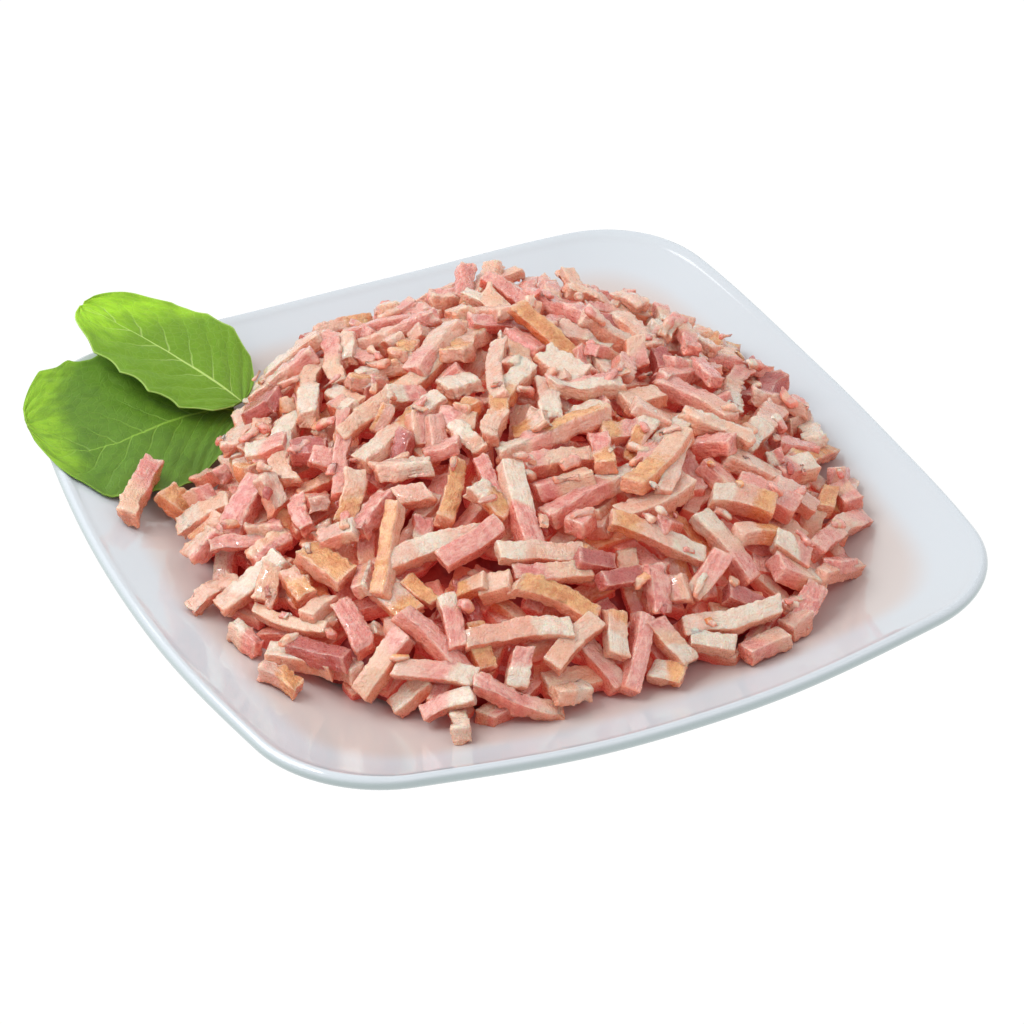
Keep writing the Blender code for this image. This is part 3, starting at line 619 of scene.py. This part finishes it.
def add_strip(strip, meat, detail, cut, torn, lengthwise, random, heap):
    """One cooked strip with its layers of fat and lean, where it lies in the heap."""
    length, width, thick = size = strip[3:6]
    points, rings, sides = bar_points(length, width, thick, detail)
    share = points/size
    away, near_edge = facing(share)
    offset = random.uniform(-NOISE_SPAN, NOISE_SPAN, 3)
    shaped = cut_and_bend(points, size, offset, cut, torn, random)
    slant = random.uniform(-SLANT, SLANT, 2)
    along = share[:, 0] + 0.5 + (slant[0]*points[:, 1] + slant[1]*points[:, 2])/length
    if lengthwise:
        along = share[:, 1] + 0.5 + slant[0]*share[:, 2] + END_SLANT*slant[1]*share[:, 0]
    layers = meat_fields(meat, along)
    skin = np.maximum(away[:, 2], random.choice((-1.0, 1.0))*away[:, 1])
    layers[:, 2] *= SKIN_LEAST + (1 - SKIN_LEAST)*ramp(skin, *SKIN_DEPTH)
    turn = np.array(strip_matrix(strip))
    placed = shaped @ turn[:3, :3].T + turn[:3, 3]
    # painted shade, partly real wetness: the strip counts as wetter and more shaded where it faces down or
    # lies deep in the heap
    up = (away @ turn[:3, :3].T)[:, 2]
    deep = mound(placed[:, 0], placed[:, 1])[0] - placed[:, 2]
    wet_and_shaded = UNDERSIDE_WET_SHADE*ramp(up, *UNDERSIDE) + INSIDE_WET_SHADE*ramp(deep, *INSIDE)
    warm, chance = random.uniform(0, 1, 2)
    tint_and_shade = np.column_stack(np.broadcast_arrays(wet_and_shaded, warm, float("r" in meat)))
    wear = np.column_stack(np.broadcast_arrays(near_edge, torn, chance))
    fields = {"local": points + offset, "meat": layers, "tint_and_shade": tint_and_shade, "wear": wear}
    heap.add(placed, tube_faces(rings, sides), fields)


def draw_meat(random):
    return COMMON_MEAT[random.integers(len(COMMON_MEAT))]


def kind_of(meat):
    """The meat that there is most of in a strip."""
    plain = meat.replace("r", "l")
    return max("flsp", key=plain.count)


def linear(*colour):
    """A colour as the eye sees it, from 0 to 255, as the shader's linear one."""
    shares = [level/255 for level in colour]
    return tuple(c/12.92 if c < 0.0404 else ((c + 0.055)/1.055)**2.4 for c in shares) + (1,)


class Shader:
    """A material whose nodes are added one call at a time."""

    def __init__(self, name):
        self.material = bpy.data.materials.new(name)
        self.material.use_nodes = True
        self.tree = self.material.node_tree
        self.surface = self.tree.nodes["Principled BSDF"]

    def set(self, socket, value):
        if isinstance(value, bpy.types.NodeSocket):
            self.tree.links.new(value, socket)
        else:
            socket.default_value = value

    def node(self, kind, inputs, output=0, **settings):
        node = self.tree.nodes.new(kind)
        for name, value in settings.items():
            setattr(node, name, value)
        for key, value in inputs.items():
            self.set(node.inputs[key], value)
        return node.outputs[output]

    def math(self, operation, *values):
        return self.node("ShaderNodeMath", dict(enumerate(values)), operation=operation)

    def plus(self, first, second):
        return self.math("ADD", first, second)

    def minus(self, first, second):
        return self.math("SUBTRACT", first, second)

    def times(self, first, second):
        return self.math("MULTIPLY", first, second)

    def swing(self, noise, most):
        """Noise from 0 to 1 as a swing about 0."""
        return self.math("MULTIPLY_ADD", noise, most, -most/2)

    def vector(self, name):
        return self.node("ShaderNodeAttribute", {}, "Vector", attribute_name=name)

    def parts(self, vector):
        node = self.tree.nodes.new("ShaderNodeSeparateXYZ")
        self.tree.links.new(vector, node.inputs[0])
        return node.outputs

    def stretch(self, vector, scale):
        return self.node("ShaderNodeMapping", {"Vector": vector, "Scale": scale})

    def noise(self, vector, wavelength, detail=2.0, roughness=0.5):
        inputs = {"Vector": vector, "Scale": 1/wavelength, "Detail": detail, "Roughness": roughness}
        return self.node("ShaderNodeTexNoise", inputs)

    def step(self, value, low, high, out_low=0.0, out_high=1.0):
        inputs = {"Value": value, "From Min": low, "From Max": high, "To Min": out_low, "To Max": out_high}
        return self.node("ShaderNodeMapRange", inputs, interpolation_type="SMOOTHSTEP")

    def mix(self, share, first, second, blend="MIX"):
        inputs = {"Factor": share, 6: first, 7: second}
        return self.node("ShaderNodeMix", inputs, 2, data_type="RGBA", blend_type=blend)

    def layers(self, marks, first, *layers):
        """A colour with others laid over it where their marks say."""
        colour = linear(*first)
        for mark, span, most, over in layers:
            if span:
                share = self.step(marks[mark], *span, 0.0, most)
            else:
                share = self.times(marks[mark], most)
            colour = self.mix(share, colour, linear(*over))
        return colour

    def bump(self, height, strength, distance):
        inputs = {"Height": height, "Strength": strength, "Distance": distance}
        return self.node("ShaderNodeBump", inputs)

    def finish(self, **inputs):
        for name, value in inputs.items():
            self.set(self.surface.inputs[name.replace("_", " ")], value)
        return self.material


def meat_material(name):
    """Cooked bacon: pale meat, with lean, fat and smoked skin where the strip's fields say."""
    s = Shader(name)
    local = s.vector("local")
    fat, lean, smoke = s.parts(s.vector("meat"))
    wet_and_shaded, warm, deep = s.parts(s.vector("tint_and_shade"))
    edge, torn, chance = s.parts(s.vector("wear"))
    broad = s.noise(local, 7.0, 2.0)
    middling = s.noise(local, 2.4, 4.0, 0.62)
    fine = s.noise(local, 0.7, 3.0, 0.6)
    fibres = s.noise(s.stretch(local, FIBRE_STRETCH), 1.1, 4.0, 0.6)
    marks = dict(broad=broad, middling=middling, fibres=fibres, warm=warm, deep=deep, chance=chance)
    colours = {kind: s.layers(marks, *layers) for kind, layers in MEAT_COLOURS.items()}
    wander = s.swing(middling, WANDER)
    colour = colours["pale"]
    kinds = (("lean", lean, LEAN_BORDER, wander), ("fat", fat, FAT_BORDER, s.times(wander, FAT_WANDER)),
             ("smoked", smoke, SMOKED_BORDER, wander))
    for kind, amount, border, swing in kinds:
        colour = s.mix(s.step(s.plus(amount, swing), *border), colour, colours[kind])
    cream = linear(*CREAM)
    rim = s.times(s.times(edge, edge), EDGE_CREAM)
    colour = s.mix(rim, colour, cream)
    colour = s.mix(s.step(fine, *SPECKS), colour, linear(*SPECK_COLOUR))
    frayed = s.step(s.plus(edge, s.swing(fine, WANDER)), *FRAYED)
    frayed = s.times(frayed, s.math("MULTIPLY_ADD", torn, TORN_FRAY, NEAT_FRAY))
    frayed = s.times(frayed, s.step(middling, *FRAYED_PATCHES))
    colour = s.mix(frayed, colour, cream)
    # painted shade, partly real wetness: the colour darkens and reddens with the wet and shaded mark
    wet_shade_tone = (1, 1, 1, 1)
    for dry, full, tone in WET_AND_SHADE:
        wet_shade_tone = s.mix(s.step(wet_and_shaded, dry, full), wet_shade_tone, tone)
    colour = s.mix(1.0, colour, wet_shade_tone, "MULTIPLY")
    height = s.plus(s.times(middling, BUMPS[0]), s.times(fibres, BUMPS[1]))
    height = s.plus(height, s.times(fine, BUMPS[2]))
    # painted glow: emission that lifts the wet and shaded meat towards red
    s.material.cycles.emission_sampling = "NONE"
    return s.finish(Base_Color=colour, Roughness=s.step(fine, *MEAT_ROUGHNESS), Subsurface_Weight=0.5,
                    Emission_Color=PAINTED_GLOW_COLOUR, Emission_Strength=s.times(wet_and_shaded, PAINTED_GLOW),
                    Subsurface_Radius=(1.0, 0.35, 0.22), Subsurface_Scale=0.0024,
                    Normal=s.bump(height, 1.0, 0.0009), Coat_Weight=0.7, Coat_Roughness=0.09)


def make_strips():
    """All the strips of the pile that show, as one mesh for each kind of meat and of cut."""
    pile, first_shown = build_pile()
    areas = pile.shown_areas()
    forms = np.random.default_rng(SEED + 1)
    random = np.random.default_rng(SEED + 2)
    heaps = {key: Meat() for key in PIECE_NAMES}
    square = (0.0, 0.0)
    for index, strip in enumerate(pile.strips):
        cut = square
        if areas[index] > SHOWN_AREA:
            cut = forms.uniform(-SKEW, SKEW), forms.uniform(-TAPER, TAPER)
        meat = draw_meat(random)
        lengthwise = random.uniform() < LENGTHWISE
        torn = random.uniform()**(NEAT_POWER if strip[1] < NEAT_FRONT else TORN_POWER)
        if first_shown <= index < first_shown + len(SHOWN):
            meat, lengthwise = SHOWN[index - first_shown][5], False
        if areas[index] > 0:
            heap = heaps[kind_of(meat), torn > TORN]
            detail = FINE if areas[index] > FINE_AREA else COARSE
            add_strip(strip, meat, detail, cut, torn, lengthwise, random, heap)
    for strip in lay_scraps(pile, random):
        meat = draw_meat(random)
        add_strip(strip, meat, COARSE, square, 1.0, False, random, heaps[kind_of(meat), True])
    for strip in lay_perched(pile, random):
        meat = draw_meat(random)
        torn = random.uniform()
        heap = heaps[kind_of(meat), torn > TORN]
        add_strip(strip, meat, FINE, square, torn, False, random, heap)
    return [heaps[key].build(name) for key, name in PIECE_NAMES.items()]


def settle(pile, spots, count, sizes, headings, random):
    """Small strips at random spots, each at rest on the pile as it is by then."""
    for i, j in spots[random.integers(len(spots), size=count)]:
        length, width, thick = (random.uniform(*span) for span in sizes)
        x, y, heading = pile.x[i, j], pile.y[i, j], random.uniform(*headings)
        yield (x, y, heading, length, width, thick, *pile.rest(pile.height, x, y, heading, length, width))


def lay_scraps(pile, random):
    """Small flat scraps and crumbs on the finished pile."""
    inside = np.argwhere((pile.out < 1.0) & (pile.owner >= 0))
    return list(settle(pile, inside, SCRAPS, SCRAP_SIZES, (0, np.pi), random))


def lay_perched(pile, random):
    """Short strips that stick up from the finished pile along its far side."""
    ahead = pile.x*FAR_WAY[0] + pile.y*FAR_WAY[1]
    aside = pile.x*FAR_WAY[1] - pile.y*FAR_WAY[0]
    within = (aside > PERCHED_SPAN[0]) & (aside < PERCHED_SPAN[1]) & (ahead > 0)
    spots = np.argwhere(within & (pile.out > PERCHED_OUT[0]) & (pile.out < PERCHED_OUT[1]))
    way = np.arctan2(FAR_WAY[1], FAR_WAY[0])
    headings = (way - PERCHED_TURN, way + PERCHED_TURN)
    perched = []
    for *place, base, _, tilt in settle(pile, spots, PERCHED, PERCHED_SIZES, headings, random):
        perched.append((*place, base - PERCHED_SINK, random.uniform(*PERCHED_PITCH), tilt))
        pile.lay(*perched[-1])
    return perched


def core_reach(angle):
    """How far out the core goes: to where it would come down to the plate."""
    radius = CORE_SEARCH
    while True:
        x, y = radius*np.cos(angle), radius*np.sin(angle)
        if mound(x, y)[0] - CORE_DEPTH - CORE_THIN > plate_top(x, y) + PLATE_CLEAR:
            return radius
        radius -= CORE_STEP


def make_core():
    """The dark inside of the heap that shows between the strips, a dark red sheet whose darkness is
    painted shade for the deep gaps.
    """
    shares = np.linspace(0, 1, CORE_RINGS + 1)
    points = [(0, 0, mound(0, 0)[0] - CORE_DEPTH)]
    angles = np.arange(CORE_STEPS)/CORE_STEPS*2*np.pi
    reach = np.array([core_reach(angle) for angle in angles])
    for side, order in ((1, shares[1:]), (0, shares[-2:0:-1])):
        for share in order:
            x, y = share*reach*np.cos(angles), share*reach*np.sin(angles)
            floor = plate_top(x, y) + PLATE_CLEAR
            top = np.maximum(mound(x, y)[0] - CORE_DEPTH, floor + CORE_THINNEST)
            points += list(zip(x, y, top if side else floor))
    points.append((0, 0, plate_top(0, 0) + PLATE_CLEAR))
    points = np.array(points, float)
    rings = 2*CORE_RINGS - 1
    upper = np.arange(len(points)) <= CORE_RINGS*CORE_STEPS
    lump, wavelength, most = CORE_LUMPS
    points[:, 2] += upper*lump*np.minimum(grain(points, wavelength), most)
    floor = plate_top(points[:, 0], points[:, 1]) + PLATE_CLEAR
    points[:, 2] = np.maximum(points[:, 2], floor)
    faces = [tuple(reversed(face)) for face in tube_faces(rings, CORE_STEPS)]
    core = mesh_object("heap_core", points, faces)
    s = Shader("core_meat_in_shade")
    place = s.node("ShaderNodeTexCoord", {}, "Object")
    mottle = s.noise(place, 0.004, 3.0)
    # painted shade: dark reds for the gaps between the strips
    colour = s.mix(s.step(mottle, 0.35, 0.65), linear(132, 26, 28), linear(172, 54, 44))
    normal = s.bump(mottle, 0.6, 0.002)
    core.data.materials.append(s.finish(Base_Color=colour, Roughness=0.5, Normal=normal))
    return core


def plate_profile():
    """The dish's profile from the middle of its upper face round to the middle of its underside."""
    def wall_height(share):
        return WELL_HEIGHT + (RIM_HEIGHT - WELL_HEIGHT)*float(wall_rise(share))

    shares = np.concatenate((np.linspace(*WELL_RINGS), np.linspace(*WALL_RINGS)))
    points = [(share*PLATE_HALF, wall_height(share)) for share in shares]
    half = RIM_THICK/2
    for turn in np.linspace(*LIP_RINGS)*np.pi:
        points.append((PLATE_HALF - half + half*np.cos(turn), RIM_HEIGHT - half*(1 - np.sin(turn))))
    for share in np.linspace(*UNDER_RINGS):
        points.append((share*PLATE_HALF + UNDER_OUT, wall_height(share) - WALL))
    points += [(FOOT_OUT*PLATE_HALF + out, height) for out, height in OUTER_FOOT]
    points += [(FOOT_IN*PLATE_HALF + out, height) for out, height in INNER_FOOT]
    points += [(share*PLATE_HALF, RECESS) for share in np.linspace(*RECESS_RINGS)]
    return points


def make_plate():
    """The porcelain dish, turned and drawn out to a rounded square."""
    profile = plate_profile()
    turns = np.arange(PLATE_STEPS)/PLATE_STEPS*2*np.pi
    turns += CORNER_CROWDING/4*np.sin(4*turns)
    points, reach = [(0, 0, profile[0][1])], [(0, 0, 0)]
    for across, height in profile[1:-1]:
        share = across/PLATE_HALF
        reach += [(share, 0, 0)]*PLATE_STEPS
        radius = share*rim_radius(turns)
        z = height + corner_lift(turns)*wall_rise(share)
        points += list(zip(radius*np.cos(turns), radius*np.sin(turns), z))
    points.append((0, 0, profile[-1][1]))
    reach.append((0, 0, 0))
    faces = [tuple(reversed(face)) for face in tube_faces(len(profile) - 2, PLATE_STEPS)]
    plate = mesh_object("porcelain_plate", points, faces, {"reach": reach})
    s = Shader("glazed_porcelain")
    place = s.node("ShaderNodeTexCoord", {}, "Object")
    cloud = s.noise(place, 0.05, 2.0)
    ripple = s.noise(place, 0.018, 1.0)
    # painted shade and reflection of the heap: warm grey in the well, giving way to bluish glaze up the
    # wall
    well_shade_reach = s.plus(s.parts(s.vector("reach"))[0], s.swing(cloud, 0.04))
    colour = s.mix(s.step(well_shade_reach, 0.83, 0.90), linear(198, 190, 187), linear(198, 205, 211))
    # painted shade: faces turned outward and down are darker grey-green
    facing_up = s.parts(s.node("ShaderNodeNewGeometry", {}, "Normal"))[2]
    colour = s.mix(s.step(facing_up, 0.25, 0.85, 1.0, 0.0), colour, linear(170, 183, 184))
    plate.data.materials.append(s.finish(Base_Color=colour, Roughness=0.09, Coat_Weight=0.5,
                                         Normal=s.bump(ripple, 0.03, 0.002), Coat_Roughness=0.03))
    return plate


def vein_place(along, across, length, half):
    """Where a point lies between the side veins, which slant from the middle rib to the tip."""
    out = np.abs(across)*half
    stagger = (across > 0)*VEIN_STAGGER
    return (along*length - VEIN_SLANT*out - VEIN_CURVE*out**2 + stagger)/VEIN_SPACING


def margin_reach(leaf, along, length, seed):
    """How far the toothed margin reaches on the front side and the back side of a leaf."""
    reach = []
    for side in (0, 1):
        tooth = abs(np.sin(np.pi*leaf["teeth"]*along + TOOTH_SHIFT*side + seed))
        rough = grain(np.array(((along*length, side*SIDE_APART, seed),)), MARGIN_GRAIN)[0]
        reach.append(leaf["sides"][side]*(1 - leaf["depth"][side]*tooth + MARGIN_ROUGH*rough))
    return reach


def make_leaf(name, leaf, material, seed):
    """A salad leaf with side veins, a scalloped margin and puckers between the veins."""
    length = np.linalg.norm(np.array(leaf["tip"], float) - leaf["base"])
    rows = np.linspace(0, 1, LEAF_ROWS + 1)
    columns = np.sin(np.linspace(-0.5, 0.5, LEAF_COLUMNS + 1)*np.pi)
    points, fields, margins = [], [], []
    rib_start, rib_drift = leaf["rib"]
    for along in rows:
        rib = rib_start + rib_drift*along
        reach = margin_reach(leaf, along, length, seed)
        for across in columns:
            edge = reach[0] if across < 0 else reach[1]
            point = leaf_point(leaf, along, across*edge, LEAF_THICK/2)
            half = leaf["half_width"]*abs(across)
            vein = vein_place(along, across - rib/leaf["half_width"], length, leaf["half_width"])
            between = np.sin(np.pi*(vein % 1.0))
            inside = min(1.0, half/PUCKER_RIB)*min(1.0, (1 - abs(across))*PUCKER_MARGIN)
            point[2] += PUCKER*inside*(between - PUCKER_LOW)
            points.append(point)
            # how far out towards the rim, for the painted shade and painted light on the leaf
            share = np.hypot(point[0], point[1])/rim_radius(np.arctan2(point[1], point[0]))
            fields.append((along*length, across*leaf["half_width"] - rib, share))
            margins.append((across, 0, 0))
    points = np.array(points)
    points[:, 2] += LEAF_LUMPS[0]*grain(points + seed, LEAF_LUMPS[1])
    floor = plate_top(points[:, 0], points[:, 1]) + LEAF_CLEAR
    points[:, 2] = np.maximum(points[:, 2], floor)
    wide = LEAF_COLUMNS + 1
    corners = [row*wide + column for row in range(LEAF_ROWS) for column in range(LEAF_COLUMNS)]
    faces = [(a, a + 1, a + wide + 1, a + wide) for a in corners]
    obj = mesh_object(name, points, faces, {"leaf": fields, "margin": margins})
    solid = obj.modifiers.new("thickness", "SOLIDIFY")
    solid.thickness = FINE_LEAF_THICK*MM
    solid.offset = 0
    obj.data.materials.append(material)
    return obj


def leaf_material(name, leaf, shade_to_backlight, **colours):
    """Salad leaf: bright with painted light shining through at the margin beyond the plate, darker with
    painted shade where it lies over the plate, with pale veins.
    """
    s = Shader(name)
    bright, deep, shade, pale = (linear(*colours[key]) for key in ("bright", "deep", "shade", "vein"))
    length = float(np.linalg.norm(np.array(leaf["tip"], float) - leaf["base"]))
    place = s.vector("leaf")
    along, across, share = s.parts(place)
    out = s.math("ABSOLUTE", across)
    wobble = s.noise(place, 6.0, 2.0)
    mottle = s.noise(place, 2.2, 3.0)
    patch = s.noise(place, 16.0, 2.0)
    vein = s.minus(along, s.times(out, VEIN_SLANT))
    vein = s.minus(vein, s.times(s.times(out, out), VEIN_CURVE))
    vein = s.plus(vein, s.times(s.math("GREATER_THAN", across, 0.0), VEIN_STAGGER))
    vein = s.plus(vein, s.swing(wobble, VEIN_WANDER))
    cycle = s.math("FRACT", s.math("DIVIDE", vein, VEIN_SPACING))
    off_vein = s.math("ABSOLUTE", s.minus(cycle, s.math("ROUND", cycle)))
    off_vein = s.times(off_vein, VEIN_SPACING)
    side_vein = s.step(off_vein, 0.15, 0.55, 1.0, 0.0)
    side_vein = s.times(side_vein, s.step(out, 2.0, 0.85*leaf["half_width"], 1.0, 0.0))
    rib_width = s.step(along, 0.0, 0.9*length, 0.95, 0.15)
    rib = s.step(s.math("DIVIDE", out, rib_width), 0.35, 1.0, 1.0, 0.0)
    cells = {"Vector": place, "Scale": 1/2.6}
    net = s.node("ShaderNodeTexVoronoi", cells, "Distance", feature="DISTANCE_TO_EDGE")
    net = s.step(net, 0.0, 0.12, 1.0, 0.0)
    # painted shade over the plate, giving way to painted light shining through the leaf beyond the rim
    inner = s.plus(share, s.swing(patch, 0.12))
    colour = s.mix(s.step(inner, *shade_to_backlight), deep, bright)
    colour = s.mix(s.step(mottle, 0.4, 0.7, 0.0, 0.30), colour, shade)
    blotch = s.noise(place, 9.0, 3.0)
    colour = s.mix(s.step(blotch, 0.50, 0.62, 0.0, 0.35), colour, shade)
    colour = s.mix(s.times(net, 0.05), colour, pale)
    colour = s.mix(s.times(side_vein, s.step(out, 1.0, 12.0, 0.35, 0.08)), colour, pale)
    margin = s.math("ABSOLUTE", s.parts(s.vector("margin"))[0])
    colour = s.mix(s.step(margin, 0.965, 0.995, 0.0, 0.45), colour, pale)
    colour = s.mix(s.times(rib, 0.75), colour, pale)
    height = s.minus(s.times(mottle, 0.5), s.times(side_vein, 0.6))
    height = s.minus(height, s.times(net, 0.2))
    return s.finish(Base_Color=colour, Roughness=0.42, Normal=s.bump(height, 0.5, 0.0005),
                    Subsurface_Weight=0.25, Subsurface_Radius=(0.5, 1.0, 0.15), Subsurface_Scale=0.0008,
                    Specular_IOR_Level=0.3)


def make_leaves():
    green = leaf_material("dark_leaf", LOWER_LEAF, **LOWER_LOOKS)
    bright = leaf_material("bright_leaf", UPPER_LEAF, **UPPER_LOOKS)
    lower = make_leaf("salad_leaf_lower", LOWER_LEAF, green, 3.0)
    upper = make_leaf("salad_leaf_upper", UPPER_LEAF, bright, 8.0)
    return lower, upper


def area_light(name, place, aim, size, power):
    data = bpy.data.lights.new(name, "AREA")
    data.shape = "DISK"
    data.size = size
    data.energy = power
    light = link_object(name, data)
    light.location = place
    light.rotation_mode = "QUATERNION"
    light.rotation_quaternion = (aim - place).to_track_quat("-Z", "Y")


def make_camera():
    azimuth, elevation = math.radians(AZIMUTH), math.radians(ELEVATION)
    back = Vector((math.sin(azimuth)*math.cos(elevation), -math.cos(azimuth)*math.cos(elevation),
                   math.sin(elevation)))
    right = Vector((math.cos(azimuth), math.sin(azimuth), 0))
    up = back.cross(right)
    target = Vector((0, 0, LOOK_HEIGHT)) + LOOK_SHIFT[0]*right + LOOK_SHIFT[1]*up
    data = bpy.data.cameras.new("camera")
    data.sensor_width = SENSOR
    data.lens = LENS
    camera = link_object("camera", data)
    turn = Matrix((right, up, back)).transposed().to_4x4()
    place = Matrix.Translation((target + back*DISTANCE)*MM)
    camera.matrix_world = place @ turn @ Matrix.Rotation(math.radians(ROLL), 4, "Z")
    bpy.context.scene.camera = camera
    return back, right


def make_studio():
    """Camera, a pale floor and soft light from the upper left."""
    back, right = make_camera()
    middle = Vector((0, 0, LIT_HEIGHT))
    for name, (aside, above, near, size, power) in LIGHTS.items():
        place = middle + aside*right + Vector((0, 0, above)) + near*back
        area_light(name, place, middle, size, power)
    world = bpy.data.worlds.new("pale_room")
    world.use_nodes = True
    background = world.node_tree.nodes["Background"]
    background.inputs["Color"].default_value = (1, 1, 1, 1)
    background.inputs["Strength"].default_value = ROOM_LIGHT
    bpy.context.scene.world = world
    bpy.context.scene.view_settings.view_transform = "Standard"
    bpy.ops.mesh.primitive_plane_add(size=FLOOR_SIZE, location=(0, 0, -FLOOR_DROP))
    floor = bpy.context.object
    floor.name = "floor"
    s = Shader("pale_floor")
    floor.data.materials.append(s.finish(Base_Color=(0, 0, 0, 1), Roughness=1.0, Specular_IOR_Level=0.0,
                                         Emission_Color=(1, 1, 1, 1), Emission_Strength=FLOOR_LIGHT))


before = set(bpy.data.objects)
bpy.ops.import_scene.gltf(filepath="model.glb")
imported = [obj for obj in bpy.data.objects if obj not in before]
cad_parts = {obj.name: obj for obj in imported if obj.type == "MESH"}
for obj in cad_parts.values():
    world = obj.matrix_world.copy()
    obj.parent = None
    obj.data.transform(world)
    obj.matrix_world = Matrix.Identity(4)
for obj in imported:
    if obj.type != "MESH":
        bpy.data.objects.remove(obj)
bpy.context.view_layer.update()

plate = make_plate()
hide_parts("plate")

strips = make_strips()
core = make_core()
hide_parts("bacon_heap")

leaf_lower, leaf_upper = make_leaves()
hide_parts("leaf_lower")
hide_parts("leaf_upper")

for piece in [plate, core, leaf_lower, leaf_upper] + strips:
    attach(piece, "root")

make_studio()
